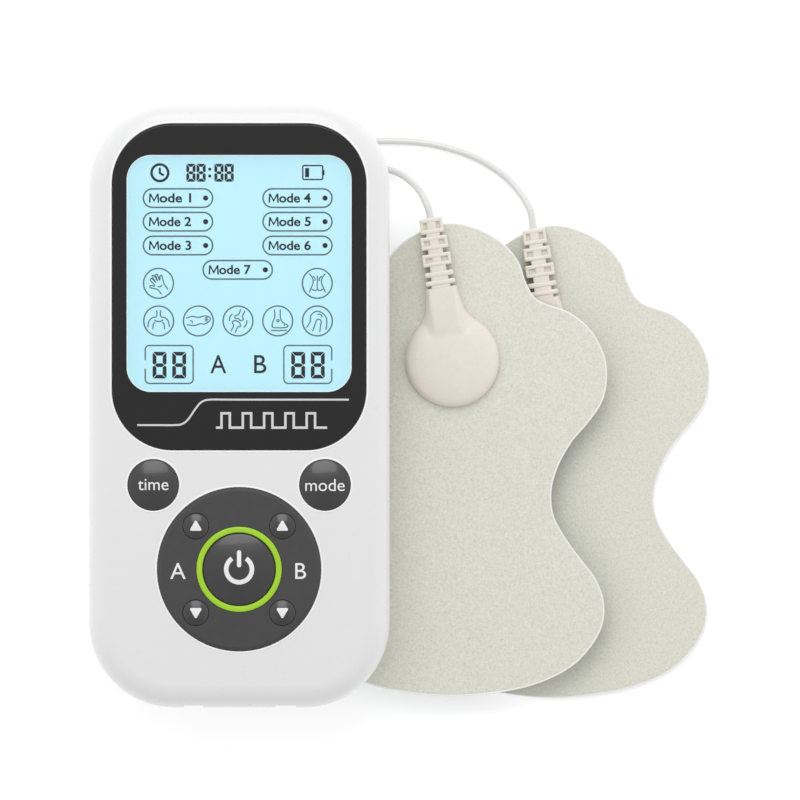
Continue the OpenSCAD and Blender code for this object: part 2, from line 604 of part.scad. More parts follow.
route_b = concat([start_b, on_snap(pad_b_x, stud_b_y, snap_b_z, snap_l + 1.5)], [
    [63.2, 41.8, 3.3], [62, 44.3, 2.6], [60.2, 46.8, 1.6], [57.9, 49.3, 1], [54.7, 51.7, 0.85], [50.9, 53.8, 0.85], [46.5, 55.4, 0.85],
    [41.6, 56.6, 0.85], [36.4, 57.2, 0.85], [30.4, 57.3, 0.85], [24, 57.2, 0.85], [18, 57, 0.85],
    [12, 57, 0.85], [6, 57, 0.85], [0, 57, 0.85], [-6, 57, 0.85], [-12, 56.3, 0.85], [-17.5, 54, 0.85],
    [-21.6, 50.3, 0.85], [-24.2, 45.5, 0.85], [-25.4, 40, 0.85], [-25.8, 34, 0.85], [-25.8, 27, 0.85],
    [-25.6, 20, 0.9], [-25.4, 14.5, 1.2], [-25.2, 9.5, 1.6]]);
split_x = -23.5;
route_main = [[split_x, 2, 1.6], [split_x, -2, 1.5], [-23.6, -7, 1.2], [-23.9, -12, 1.05], [-24, -17, 1.05], [-24.2, -22, 1.05],
    [-24.6, -27, 1.05], [-25, -32, 1.05], [-25.2, -37, 1.05], [-25.2, -41.5, 1.05]];
route_tail = [[0, -62.1, 3.05], [3, -62, 2.7], [6, -61.7, 2], [9.5, -60.9, 1.3], [13.5, -59, 1.1], [17.5, -56, 1.3],
    [21, -52, 1.7], [23.4, -47.3, 2.1], [24.4, -42, 2.5], [24.6, -37, 2.8], [24.6, -32, 2.8], [24.6, -28, 2.8]];

module lead_branch_a() color([0.95, 0.95, 0.95]) tube(route_a, branch_d / 2);
module lead_branch_b() color([0.95, 0.95, 0.95]) tube(route_b, branch_d / 2);
module lead_main() color([0.95, 0.95, 0.95]) tube(route_main, main_d / 2);
module lead_tail() color([0.95, 0.95, 0.95]) tube(route_tail, main_d / 2);
module y_splitter() color([0.92, 0.92, 0.92])
    translate([split_x, 0, 0.1]) linear_extrude(3) polygon([[-2, 2], [2, 2], [3.4, 5.5], [3.4, 9.5], [-3.4, 9.5], [-3.4, 5.5]]);
module lead_coil() color([0.95, 0.95, 0.95])
    translate([-8, -46, 0.05]) rotate_extrude()
        translate([coil_r - coil_w / 2, 0]) square([coil_w, coil_h - 0.05]);
module plug_body() color([0.92, 0.92, 0.92])
    translate([24.6, -30, 2.8]) rotate([-90, 0, 0]) {
        cylinder(h = 6, r1 = 1.5, r2 = 2);
        translate([0, 0, 6]) cylinder(h = 16, r = 2.65);
    }
module plug_pin() color(steel)
    translate([24.6, -8, 2.8]) rotate([-90, 0, 0]) {
        cylinder(h = 9.2, r = pin_r);
        translate([0, 0, 9.2]) cylinder(h = 0.8, r1 = pin_r, r2 = 0.6);
    }

front_shell();
back_shell();
window_lens();
bezel_mask();
lcd_panel();
backlight_diffuser();
lcd_holder();
lcd_connectors();
dial_plate();
light_ring();
keypad_membrane();
dome_switches();
main_board();
controller_chip();
output_transformers();
capacitors();
buzzer();
lead_socket_a();
lead_socket_b();
battery_cells();
battery_contacts();
battery_door();
belt_clip();
clip_pin();
clip_spring();
case_screws();
board_screws();
button_time();
button_mode();
button_power();
button_a_up();
button_a_down();
button_b_up();
button_b_down();
pad_a_backing();
pad_a_film();
pad_a_gel();
pad_a_stud();
pad_b_backing();
pad_b_film();
pad_b_gel();
pad_b_stud();
snap_housing_a();
snap_housing_b();
snap_boot_a();
snap_boot_b();
snap_socket_a();
snap_socket_b();
lead_branch_a();
lead_branch_b();
y_splitter();
lead_main();
lead_coil();
lead_tail();
plug_body();
plug_pin();
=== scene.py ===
# Looks for the TENS unit: studio view from straight above the flat-lay set.
import math

import bmesh
import bpy
import numpy as np
from mathutils import Matrix, Vector


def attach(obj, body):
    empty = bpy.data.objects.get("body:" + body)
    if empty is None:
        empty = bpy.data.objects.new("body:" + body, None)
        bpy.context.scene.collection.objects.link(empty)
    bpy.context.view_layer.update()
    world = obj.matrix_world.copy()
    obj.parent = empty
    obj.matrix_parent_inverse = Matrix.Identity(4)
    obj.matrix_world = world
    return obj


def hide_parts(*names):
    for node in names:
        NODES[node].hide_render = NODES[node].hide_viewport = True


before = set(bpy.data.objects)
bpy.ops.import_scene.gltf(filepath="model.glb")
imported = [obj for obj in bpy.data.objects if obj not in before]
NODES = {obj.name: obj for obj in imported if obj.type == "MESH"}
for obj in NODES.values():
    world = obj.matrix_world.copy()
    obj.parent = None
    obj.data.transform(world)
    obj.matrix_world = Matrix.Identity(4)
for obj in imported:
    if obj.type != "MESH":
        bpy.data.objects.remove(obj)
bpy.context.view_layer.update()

MM = 0.001
scene = bpy.context.scene

# ------------------------------------------------------------------ camera
LENS, SENSOR, FRAME_W = 900.0, 36.0, 173.1
cam_data = bpy.data.cameras.new("camera")
cam_data.lens, cam_data.sensor_width = LENS, SENSOR
cam_data.clip_start, cam_data.clip_end = 0.1, 30.0
camera = bpy.data.objects.new("camera", cam_data)
camera.location = (34.75 * MM, 0.97 * MM, (22.0 + FRAME_W * LENS / SENSOR) * MM)
scene.collection.objects.link(camera)
scene.camera = camera


# ------------------------------------------------------------------ helpers
def link(name, mesh):
    o = bpy.data.objects.new(name, mesh)
    scene.collection.objects.link(o)
    return o


def to_mesh(name, verts, faces, smooth=40.0):
    """Object from points in millimetres; edges sharper than smooth stay sharp."""
    me = bpy.data.meshes.new(name)
    me.from_pydata([tuple(c * MM for c in v) for v in verts], [], faces)
    bm = bmesh.new()
    bm.from_mesh(me)
    bmesh.ops.remove_doubles(bm, verts=bm.verts, dist=1e-8)
    bmesh.ops.dissolve_degenerate(bm, dist=1e-9, edges=bm.edges)
    bmesh.ops.recalc_face_normals(bm, faces=bm.faces)
    bm.to_mesh(me)
    bm.free()
    finish_shading(me, smooth)
    return link(name, me)


def finish_shading(me, smooth=40.0):
    me.polygons.foreach_set("use_smooth", [True] * len(me.polygons))
    me.set_sharp_from_angle(angle=math.radians(smooth))
    me.update()


def catmull(p, n):
    out = []
    for i in range(len(p) - 1):
        a, b, c, d = p[max(i - 1, 0)], p[i], p[i + 1], p[min(i + 2, len(p) - 1)]
        for k in range(n):
            t = k / n
            out.append(tuple(0.5 * (2 * bb + (cc - aa) * t + (2 * aa - 5 * bb + 4 * cc - dd) * t * t + (3 * bb - aa - 3 * cc + dd) * t ** 3)
                             for aa, bb, cc, dd in zip(a, b, c, d)))
    out.append(tuple(p[-1]))
    return out


def revolve(name, profile, centre, seg=128, smooth=40.0):
    """Solid of revolution about +Z; profile is [(r, z), ...] from the axis at the bottom to the axis at the top."""
    verts, faces, rows = [], [], []
    for r, z in profile:
        if r < 1e-6:
            rows.append([len(verts)])
            verts.append((centre[0], centre[1], z))
        else:
            rows.append(list(range(len(verts), len(verts) + seg)))
            verts += [(centre[0] + r * math.cos(2 * math.pi * k / seg), centre[1] + r * math.sin(2 * math.pi * k / seg), z) for k in range(seg)]
    for a, b in zip(rows, rows[1:]):
        for k in range(seg):
            k2 = (k + 1) % seg
            if len(a) == 1 and len(b) > 1:
                faces.append((a[0], b[k], b[k2]))
            elif len(b) == 1 and len(a) > 1:
                faces.append((a[k], a[k2], b[0]))
            elif len(a) > 1:
                faces.append((a[k], a[k2], b[k2], b[k]))
    return to_mesh(name, verts, faces, smooth)


def loop_profile(name, profile, centre, seg=128, smooth=40.0):
    """Ring of revolution: the profile is a closed loop off the axis."""
    verts, faces, n = [], [], len(profile)
    for r, z in profile:
        verts += [(centre[0] + r * math.cos(2 * math.pi * k / seg), centre[1] + r * math.sin(2 * math.pi * k / seg), z) for k in range(seg)]
    for i in range(n):
        a, b = i * seg, ((i + 1) % n) * seg
        for k in range(seg):
            k2 = (k + 1) % seg
            faces.append((a + k, a + k2, b + k2, b + k))
    return to_mesh(name, verts, faces, smooth)


def extrude_outline(outline, z0, z1):
    """Closed thin solid from a 2D outline, as (verts, faces)."""
    n = len(outline)
    verts = [(x, y, z0) for x, y in outline] + [(x, y, z1) for x, y in outline]
    faces = [tuple(range(n - 1, -1, -1)), tuple(range(n, 2 * n))]
    faces += [(k, (k + 1) % n, n + (k + 1) % n, n + k) for k in range(n)]
    return verts, faces


def ribbon(pts, width, closed=False):
    """Mitred flat strip as two side lines: list of (left, right) points."""
    n, rows = len(pts), []
    for i in range(n):
        a = pts[(i - 1) % n] if (closed or i > 0) else None
        c = pts[(i + 1) % n] if (closed or i < n - 1) else None
        b = pts[i]
        dirs = []
        if a is not None:
            d = math.hypot(b[0] - a[0], b[1] - a[1])
            dirs.append(((b[0] - a[0]) / d, (b[1] - a[1]) / d))
        if c is not None:
            d = math.hypot(c[0] - b[0], c[1] - b[1])
            dirs.append(((c[0] - b[0]) / d, (c[1] - b[1]) / d))
        nx, ny = -sum(d[1] for d in dirs), sum(d[0] for d in dirs)
        m = math.hypot(nx, ny) or 1.0
        nx, ny = nx / m, ny / m
        cosv = max(0.5, nx * -dirs[0][1] + ny * dirs[0][0])
        h = width / 2 / cosv
        rows.append(((b[0] + nx * h, b[1] + ny * h), (b[0] - nx * h, b[1] - ny * h)))
    return rows


class Ink:
    """Collects thin flat shapes between two heights, then makes one object of them."""

    def __init__(self, z0, z1):
        self.z0, self.z1, self.v, self.f = z0, z1, [], []

    def add(self, verts, faces):
        b = len(self.v)
        self.v += verts
        self.f += [tuple(b + k for k in f) for f in faces]

    def shape(self, outline):
        self.add(*extrude_outline(outline, self.z0, self.z1))

    def line(self, pts, width, closed=False):
        rows, n = ribbon(pts, width, closed), len(pts)
        v = []
        for l, r in rows:
            v += [(l[0], l[1], self.z0), (r[0], r[1], self.z0), (r[0], r[1], self.z1), (l[0], l[1], self.z1)]
        f = []
        for i in range(n if closed else n - 1):
            a, b = 4 * i, 4 * ((i + 1) % n)
            for k in range(4):
                f.append((a + k, a + (k + 1) % 4, b + (k + 1) % 4, b + k))
        if not closed:
            f += [(0, 3, 2, 1), (4 * n - 4, 4 * n - 3, 4 * n - 2, 4 * n - 1)]
        self.add(v, f)

    def circle(self, c, r, width, a0=0.0, a1=360.0, n=72):
        full = abs(a1 - a0) >= 359.9
        m = max(8, int(n * abs(a1 - a0) / 360))
        pts = [(c[0] + r * math.cos(math.radians(a0 + (a1 - a0) * k / m)), c[1] + r * math.sin(math.radians(a0 + (a1 - a0) * k / m)))
               for k in range(m if full else m + 1)]
        self.line(pts, width, closed=full)

    def dot(self, c, r, n=32):
        self.shape([(c[0] + r * math.cos(2 * math.pi * k / n), c[1] + r * math.sin(2 * math.pi * k / n)) for k in range(n)])

    def done(self, name, smooth=30.0):
        return to_mesh(name, self.v, self.f, smooth)


def round_rect(x0, y0, x1, y1, r, n=12):
    pts = []
    for cx, cy, a in ((x1 - r, y1 - r, 0), (x0 + r, y1 - r, 90), (x0 + r, y0 + r, 180), (x1 - r, y0 + r, 270)):
        pts += [(cx + r * math.cos(math.radians(a + 90 * k / n)), cy + r * math.sin(math.radians(a + 90 * k / n))) for k in range(n + 1)]
    return pts


def words(name, text, centre, height, z, thick=0.03, width=None, stretch=1.0, bold=0.0):
    """Generic lettering as a thin solid; height is that of a capital, width squeezes it to fit."""
    cu = bpy.data.curves.new(name, "FONT")
    cu.body, cu.align_x, cu.align_y = text, "CENTER", "CENTER"
    cu.size, cu.extrude, cu.offset = 1.0, 0.01, bold
    cu.resolution_u = 6
    o = bpy.data.objects.new(name, cu)
    scene.collection.objects.link(o)
    bpy.context.view_layer.update()
    me = bpy.data.meshes.new_from_object(o.evaluated_get(bpy.context.evaluated_depsgraph_get()))
    bpy.data.objects.remove(o)
    bpy.data.curves.remove(cu)
    co = np.zeros(len(me.vertices) * 3, np.float32)
    me.vertices.foreach_get("co", co)
    co = co.reshape(-1, 3)
    lo, hi = co.min(0), co.max(0)
    k = height / 0.73
    kx = k * stretch if width is None else width / (hi[0] - lo[0])
    co[:, 0] = ((co[:, 0] - (lo[0] + hi[0]) / 2) * kx + centre[0]) * MM
    co[:, 1] = ((co[:, 1] - (lo[1] + hi[1]) / 2) * k + centre[1]) * MM
    co[:, 2] = (z + (co[:, 2] > 0) * thick) * MM
    me.vertices.foreach_set("co", co.ravel())
    bm = bmesh.new()
    bm.from_mesh(me)
    bmesh.ops.remove_doubles(bm, verts=bm.verts, dist=1e-8)
    bmesh.ops.dissolve_degenerate(bm, dist=1e-8, edges=bm.edges)
    bmesh.ops.recalc_face_normals(bm, faces=bm.faces)
    bm.to_mesh(me)
    bm.free()
    me.name = name
    me.materials.clear()
    finish_shading(me, 30)
    return link(name, me)


def drape(o, height, lift, thick=0.04, grain=0.35):
    """Lays a flat thin piece on a curved surface: z becomes height(x, y) in millimetres."""
    bm = bmesh.new()
    bm.from_mesh(o.data)
    top = [f for f in bm.faces if f.normal.z > 0.5]
    other = [f for f in bm.faces if f not in set(top)]
    bmesh.ops.delete(bm, geom=other, context="FACES")
    bmesh.ops.triangulate(bm, faces=bm.faces)
    for _ in range(4):
        long = [e for e in bm.edges if e.calc_length() > grain * MM]
        if not long:
            break
        bmesh.ops.subdivide_edges(bm, edges=long, cuts=1)
        bmesh.ops.triangulate(bm, faces=bm.faces)
    for v in bm.verts:
        v.co.z = (height(v.co.x / MM, v.co.y / MM) + lift) * MM
    ext = bmesh.ops.extrude_face_region(bm, geom=bm.faces[:])
    for g in ext["geom"]:
        if isinstance(g, bmesh.types.BMVert):
            g.co.z -= thick * MM
    bmesh.ops.recalc_face_normals(bm, faces=bm.faces)
    bm.to_mesh(o.data)
    bm.free()
    finish_shading(o.data, 35)
    return o


# ---------------------------------------------------------------- materials
def new_mat(name, base, rough, spec=0.5, coat=0.0, metal=0.0, transmission=0.0, ior=1.5, emission=None, emit=0.0, sheen=0.0, sss=0.0, alpha=1.0):
    m = bpy.data.materials.new(name)
    m.use_nodes = True
    b = m.node_tree.nodes["Principled BSDF"]
    b.inputs["Base Color"].default_value = (*base, 1.0)
    b.inputs["Roughness"].default_value = rough
    b.inputs["Specular IOR Level"].default_value = spec
    b.inputs["Metallic"].default_value = metal
    b.inputs["IOR"].default_value = ior
    b.inputs["Coat Weight"].default_value = coat
    b.inputs["Coat Roughness"].default_value = 0.08
    b.inputs["Transmission Weight"].default_value = transmission
    b.inputs["Alpha"].default_value = alpha
    if sheen:
        b.inputs["Sheen Weight"].default_value = sheen
        b.inputs["Sheen Roughness"].default_value = 0.6
    if sss:
        b.inputs["Subsurface Weight"].default_value = sss
        b.inputs["Subsurface Scale"].default_value = 0.0015
        b.inputs["Subsurface Radius"].default_value = (1.0, 0.8, 0.6)
    if emission:
        b.inputs["Emission Color"].default_value = (*emission, 1.0)
        b.inputs["Emission Strength"].default_value = emit
        # a faint glow needs no light samples of its own, so the white case stays free of noise
        m.cycles.emission_sampling = "NONE"
    return m, m.node_tree, b


def coords(nt):
    return nt.nodes.new("ShaderNodeTexCoord").outputs["Object"]


def noise(nt, vec, scale, detail=4.0, rough=0.5, stretch=None):
    if stretch:
        mp = nt.nodes.new("ShaderNodeMapping")
        mp.inputs["Scale"].default_value = stretch
        nt.links.new(vec, mp.inputs["Vector"])
        vec = mp.outputs["Vector"]
    n = nt.nodes.new("ShaderNodeTexNoise")
    n.inputs["Scale"].default_value = scale
    n.inputs["Detail"].default_value = detail
    n.inputs["Roughness"].default_value = rough
    nt.links.new(vec, n.inputs["Vector"])
    return n.outputs["Fac"]


def ramp(nt, fac, stops):
    r = nt.nodes.new("ShaderNodeValToRGB")
    r.color_ramp.elements[0].position, r.color_ramp.elements[0].color = stops[0][0], (*stops[0][1], 1)
    r.color_ramp.elements[1].position, r.color_ramp.elements[1].color = stops[-1][0], (*stops[-1][1], 1)
    for pos, col in stops[1:-1]:
        e = r.color_ramp.elements.new(pos)
        e.color = (*col, 1)
    nt.links.new(fac, r.inputs["Fac"])
    return r.outputs["Color"]


def bump(nt, b, fac, distance, strength=0.5, under=None):
    n = nt.nodes.new("ShaderNodeBump")
    n.inputs["Strength"].default_value = strength
    n.inputs["Distance"].default_value = distance
    nt.links.new(fac, n.inputs["Height"])
    if under is not None:
        nt.links.new(under, n.inputs["Normal"])
    nt.links.new(n.outputs["Normal"], b.inputs["Normal"])
    return n.outputs["Normal"]


def rough_range(nt, b, fac, lo, hi):
    mr = nt.nodes.new("ShaderNodeMapRange")
    mr.inputs["From Min"].default_value, mr.inputs["From Max"].default_value = 0.3, 0.7
    mr.inputs["To Min"].default_value, mr.inputs["To Max"].default_value = lo, hi
    nt.links.new(fac, mr.inputs["Value"])
    nt.links.new(mr.outputs["Result"], b.inputs["Roughness"])


def scaled(c, k):
    return tuple(min(1.0, x * k) for x in c)


def plastic(name, base, rough=0.35, grain=2600.0, depth=0.00001, var=0.02, **kw):
    """Moulded plastic: fine spark grain, faint flow marks in the colour, roughness that varies a little."""
    m, nt, b = new_mat(name, base, rough, **kw)
    v = coords(nt)
    flow = noise(nt, v, 520.0, 2.0, 0.5)
    nt.links.new(ramp(nt, flow, [(0.3, scaled(base, 1 - var)), (0.7, scaled(base, 1 + var))]), b.inputs["Base Color"])
    fine = noise(nt, v, grain, 1.0, 0.5)
    rough_range(nt, b, noise(nt, v, 220.0, 4.0, 0.6), rough * 0.88, rough * 1.14)
    bump(nt, b, fine, depth, 0.25)
    return m


def metal(name, base, rough=0.25, brushed=(1, 1, 12)):
    m, nt, b = new_mat(name, base, rough, metal=1.0)
    v = coords(nt)
    n = noise(nt, v, 900.0, 4.0, 0.6, brushed)
    rough_range(nt, b, n, rough * 0.75, rough * 1.3)
    nt.links.new(ramp(nt, noise(nt, v, 150.0), [(0.3, scaled(base, 0.93)), (0.7, scaled(base, 1.05))]), b.inputs["Base Color"])
    bump(nt, b, n, 0.000006, 0.4)
    return m


def fabric_mat(name, base):
    """Fine non-woven pad backing: tight fibre grain over a faint mottling."""
    m, nt, b = new_mat(name, base, 0.86, spec=0.25, sheen=0.25)
    v = coords(nt)
    fibre_x = noise(nt, v, 2300.0, 3.0, 0.75, (1.0, 0.6, 1.0))
    fibre_y = noise(nt, v, 2900.0, 3.0, 0.75, (0.6, 1.0, 1.0))
    mix = nt.nodes.new("ShaderNodeMath")
    mix.operation = "ADD"
    nt.links.new(fibre_x, mix.inputs[0])
    nt.links.new(fibre_y, mix.inputs[1])
    half = nt.nodes.new("ShaderNodeMath")
    half.operation = "MULTIPLY"
    half.inputs[1].default_value = 0.5
    nt.links.new(mix.outputs[0], half.inputs[0])
    fine = half.outputs[0]
    mott = noise(nt, v, 900.0, 5.0, 0.75)
    c1 = ramp(nt, fine, [(0.34, scaled(base, 0.84)), (0.5, base), (0.66, scaled(base, 1.12))])
    c2 = ramp(nt, mott, [(0.3, (0.982, 0.982, 0.98)), (0.7, (1.0, 1.0, 1.0))])
    mul = nt.nodes.new("ShaderNodeMix")
    mul.data_type, mul.blend_type = "RGBA", "MULTIPLY"
    mul.inputs["Factor"].default_value = 1.0
    nt.links.new(c1, mul.inputs["A"])
    nt.links.new(c2, mul.inputs["B"])
    nt.links.new(mul.outputs["Result"], b.inputs["Base Color"])
    under = bump(nt, b, mott, 0.00005, 0.4)
    bump(nt, b, fine, 0.00006, 0.6, under)
    return m


def srgb(r, g, b):
    return tuple(((c / 255 + 0.055) / 1.055) ** 2.4 if c > 10 else c / 255 / 12.92 for c in (r, g, b))


M = {}
M["case"] = plastic("case_white", (0.76, 0.76, 0.765), 0.30, depth=0.0000015, var=0.004, coat=0.25)
M["clip"] = plastic("clip_white", (0.76, 0.76, 0.77), 0.34, depth=0.000004, var=0.01)
M["door"] = plastic("door_white", (0.78, 0.78, 0.79), 0.33, depth=0.000004, var=0.008)
M["dial"] = plastic("dial_grey", (0.043, 0.043, 0.043), 0.42, depth=0.00001, var=0.05)
M["button"] = plastic("button_dark", (0.014, 0.014, 0.0145), 0.30, spec=0.65, coat=0.5, depth=0.000006, var=0.04)
M["mask"] = plastic("mask_print", (0.008, 0.008, 0.0085), 0.5, var=0.05, spec=0.05)
# rim beads: the case plastic made lighter, a painted highlight along the chamfered edges on top of the light the bead
# catches
M["rim"] = plastic("rim_painted_highlight", (0.90, 0.90, 0.90), 0.22, depth=0.000004, var=0.006, coat=0.4)
M["border"] = plastic("window_border", (0.008, 0.008, 0.0085), 0.07, depth=0.0000004, grain=900.0, var=0.05, spec=0.42)
M["ink"] = plastic("white_print", (0.80, 0.80, 0.80), 0.45, var=0.01)
M["line"] = plastic("grey_print", (0.62, 0.62, 0.63), 0.40, var=0.02)
M["lcd_ink"] = plastic("lcd_segment", (0.002, 0.006, 0.010), 0.6, var=0.03, spec=0.05)
M["lcd_thin"] = plastic("lcd_outline", (0.105, 0.195, 0.205), 0.6, var=0.03, spec=0.05)
# pale glowing line at the display's edge: a painted highlight
M["lcd_edge"] = plastic("lcd_edge_painted_highlight", (0.50, 0.62, 0.64), 0.5, var=0.02, spec=0.1, emission=(0.75, 0.92, 0.95), emit=0.62)
M["ivory"] = plastic("connector_ivory", (0.79, 0.735, 0.65), 0.26, grain=1500.0, depth=0.000004, var=0.010, coat=0.35)
M["lead"] = plastic("lead_sheath", (0.70, 0.70, 0.69), 0.18, grain=1800.0, depth=0.000004, var=0.01, coat=0.8)
M["fabric"] = fabric_mat("pad_fabric", (0.715, 0.718, 0.628))
M["edge"] = plastic("pad_edge", (0.86, 0.86, 0.84), 0.6, grain=1200.0, depth=0.00002, var=0.02)
M["film"] = plastic("carbon_film", (0.02, 0.02, 0.022), 0.5, var=0.1)
M["gel"] = plastic("hydrogel", (0.62, 0.72, 0.70), 0.12, grain=500.0, depth=0.00002, var=0.03, transmission=0.35, ior=1.38)
M["board"] = plastic("solder_mask", (0.02, 0.16, 0.07), 0.3, var=0.12, coat=0.4)
M["chip"] = plastic("epoxy", (0.02, 0.02, 0.02), 0.55, var=0.1)
M["tape"] = plastic("winding_tape", (0.62, 0.40, 0.05), 0.35, var=0.08)
M["cap"] = plastic("capacitor_sleeve", (0.03, 0.05, 0.18), 0.25, var=0.06)
M["socket"] = plastic("socket_shell", (0.055, 0.055, 0.06), 0.45, var=0.06)
M["diffuser"] = plastic("diffuser", (0.85, 0.88, 0.92), 0.5, var=0.02)
M["holder"] = plastic("holder", (0.78, 0.78, 0.78), 0.5, var=0.02)
M["elastomer"] = plastic("elastomer", (0.7, 0.35, 0.4), 0.6, var=0.08)
M["membrane"] = plastic("membrane", (0.26, 0.28, 0.3), 0.65, var=0.05)
M["cell"] = metal("cell_sleeve", (0.55, 0.28, 0.05), 0.3, (1, 12, 1))
M["steel"] = metal("steel", (0.62, 0.62, 0.64), 0.3)
M["nickel"] = metal("nickel", (0.78, 0.77, 0.74), 0.16, (1, 1, 1))
M["brass"] = metal("brass", (0.78, 0.57, 0.24), 0.22, (1, 1, 1))


def lime():
    m, nt, b = new_mat("ring_lime", (0.32, 0.58, 0.012), 0.30, coat=0.2, emission=(0.36, 0.68, 0.01), emit=0.03)
    v = coords(nt)
    nt.links.new(ramp(nt, noise(nt, v, 300.0), [(0.3, (0.315, 0.575, 0.012)), (0.7, (0.345, 0.62, 0.016))]), b.inputs["Base Color"])
    bump(nt, b, noise(nt, v, 1800.0), 0.000008, 0.3)
    return m


def lcd_mat():
    m, nt, b = new_mat("lcd_glass", (0.30, 0.46, 0.52), 0.25, emission=(0.40, 0.72, 0.82), emit=0.80)
    v = coords(nt)
    # faint pixel film of the display
    nt.links.new(ramp(nt, noise(nt, v, 35.0, 2.0), [(0.3, (0.29, 0.455, 0.515)), (0.7, (0.31, 0.47, 0.53))]), b.inputs["Base Color"])
    bump(nt, b, noise(nt, v, 3200.0, 2.0), 0.000003, 0.2)
    return m


def lens_mat():
    m, nt, b = new_mat("lens_clear", (1.0, 1.0, 1.0), 0.02, transmission=1.0, ior=1.42)
    v = coords(nt)
    bump(nt, b, noise(nt, v, 25.0, 2.0), 0.000004, 0.15)
    return m


M["lime"], M["lcd"], M["lens"] = lime(), lcd_mat(), lens_mat()


def paint(o, m):
    o.data.materials.clear()
    o.data.materials.append(m)
    return o


def cad(names, m):
    for n in names.split():
        o = NODES[n]
        for k in range(len(o.material_slots)):
            o.material_slots[k].material = m
        if not o.material_slots:
            o.data.materials.append(m)


def own(o, m, body, slot, *nodes):
    paint(o, m)
    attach(o, body)
    if nodes:
        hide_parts(*nodes)
    return o


cad("front_shell back_shell", M["case"])
cad("battery_door", M["door"])
cad("belt_clip", M["clip"])
cad("window_lens", M["lens"])
cad("bezel_mask", M["mask"])
cad("lcd_panel", M["lcd"])
cad("backlight_diffuser", M["diffuser"])
cad("lcd_holder", M["holder"])
cad("lcd_connectors", M["elastomer"])
cad("dial_plate", M["dial"])
cad("keypad_membrane", M["membrane"])
cad("main_board", M["board"])
cad("controller_chip buzzer", M["chip"])
cad("output_transformers", M["tape"])
cad("capacitors", M["cap"])
cad("lead_socket_a lead_socket_b", M["socket"])
cad("battery_cells", M["cell"])
cad("battery_contacts pad_a_stud pad_b_stud plug_pin", M["nickel"])
cad("dome_switches clip_pin clip_spring case_screws board_screws", M["steel"])
cad("snap_socket_a snap_socket_b", M["brass"])
cad("pad_a_film pad_b_film", M["film"])
cad("pad_a_gel pad_b_gel", M["gel"])

# ------------------------------------------------------------- the lead set
TURN = math.radians(8.8)
SNAP_L, EXIT_Z = 30.85, 2.1
PAD = {"a": (46.1, 9.7, 5.8), "b": (68.5, 7.4, 0.0)}  # stud x, stud y, underside of the pad
SNAP_Z = {k: p[2] + 1.4 for k, p in PAD.items()}


def on_snap(k, t):
    x, y, _ = PAD[k]
    return (x - t * math.sin(TURN), y + t * math.cos(TURN), SNAP_Z[k] + EXIT_Z)


route_a = [on_snap("a", SNAP_L - 3), on_snap("a", SNAP_L + 1.5),
    (40.3, 44, 9), (39, 46.4, 7.8), (36.9, 48.6, 5.5), (34.4, 50.3, 3.2), (31, 51.3, 1.6),
    (26, 51.6, 0.9), (20, 51.3, 0.85), (14, 51, 0.85), (8, 51, 0.85), (3, 51, 0.85), (0, 50.6, 0.85), (-2.6, 49, 0.85),
    (-3.5, 47, 0.85), (-2.6, 45, 0.85), (0, 43.9, 0.85), (4, 43.8, 0.85), (8, 43.8, 0.85), (12, 43.7, 0.85),
    (14.5, 42.4, 0.85), (15.4, 40.3, 0.85), (14.5, 38.2, 0.85), (12, 37, 0.85), (6, 36.8, 0.85), (0, 36.8, 0.85),
    (-6, 36.8, 0.85), (-12, 36.4, 0.85), (-16.5, 34.5, 0.85), (-19.5, 31, 0.85), (-20.9, 26.5, 0.85),
    (-21.3, 21, 0.9), (-21.6, 15, 1.2), (-21.8, 9.5, 1.6)]
route_b = [on_snap("b", SNAP_L - 3), on_snap("b", SNAP_L + 1.5),
    (63.2, 41.8, 3.3), (62, 44.3, 2.6), (60.2, 46.8, 1.6), (57.9, 49.3, 1), (54.7, 51.7, 0.85), (50.9, 53.8, 0.85), (46.5, 55.4, 0.85),
    (41.6, 56.6, 0.85), (36.4, 57.2, 0.85), (30.4, 57.3, 0.85), (24, 57.2, 0.85), (18, 57, 0.85),
    (12, 57, 0.85), (6, 57, 0.85), (0, 57, 0.85), (-6, 57, 0.85), (-12, 56.3, 0.85), (-17.5, 54, 0.85),
    (-21.6, 50.3, 0.85), (-24.2, 45.5, 0.85), (-25.4, 40, 0.85), (-25.8, 34, 0.85), (-25.8, 27, 0.85),
    (-25.6, 20, 0.9), (-25.4, 14.5, 1.2), (-25.2, 9.5, 1.6)]
route_main = [(-23.5, 2, 1.6), (-23.5, -2, 1.5), (-23.6, -7, 1.2), (-23.9, -12, 1.05), (-24, -17, 1.05), (-24.2, -22, 1.05),
    (-24.6, -27, 1.05), (-25, -32, 1.05), (-25.2, -37, 1.05), (-25.2, -41.5, 1.05)]
route_tail = [(0, -62.1, 3.05), (3, -62, 2.7), (6, -61.7, 2), (9.5, -60.9, 1.3), (13.5, -59, 1.1), (17.5, -56, 1.3),
    (21, -52, 1.7), (23.4, -47.3, 2.1), (24.4, -42, 2.5), (24.6, -37, 2.8), (24.6, -32, 2.8), (24.6, -28, 2.8)]
COIL = (-8.0, -46.0)


def coil_points():
    """Lower layer winds in from the outside, upper layer winds back out: 5 turns and 4.2 turns."""
    pts, step = [], 15
    for a in range(180 + step, 180 + 5 * 360 + 1, step):
        pts.append((a, 17 - (a - 180) / 180.0, 1.05))
    start = pts[-1][0]
    rise = 90
    for a in range(start + step, start + rise + 1, step):
        t = (a - start) / rise
        pts.append((a, 7 + 0.5 * t, 1.05 + 2.0 * (3 * t * t - 2 * t ** 3)))
    start = pts[-1][0]
    turns = 4.0
    for a in range(start + step, start + int(360 * turns) + 1, step):
        pts.append((a, 7.5 + 8.6 * (a - start) / (360 * turns), 3.05))
    return [(COIL[0] + r * math.cos(math.radians(a)), COIL[1] + r * math.sin(math.radians(a)), z) for a, r, z in pts]


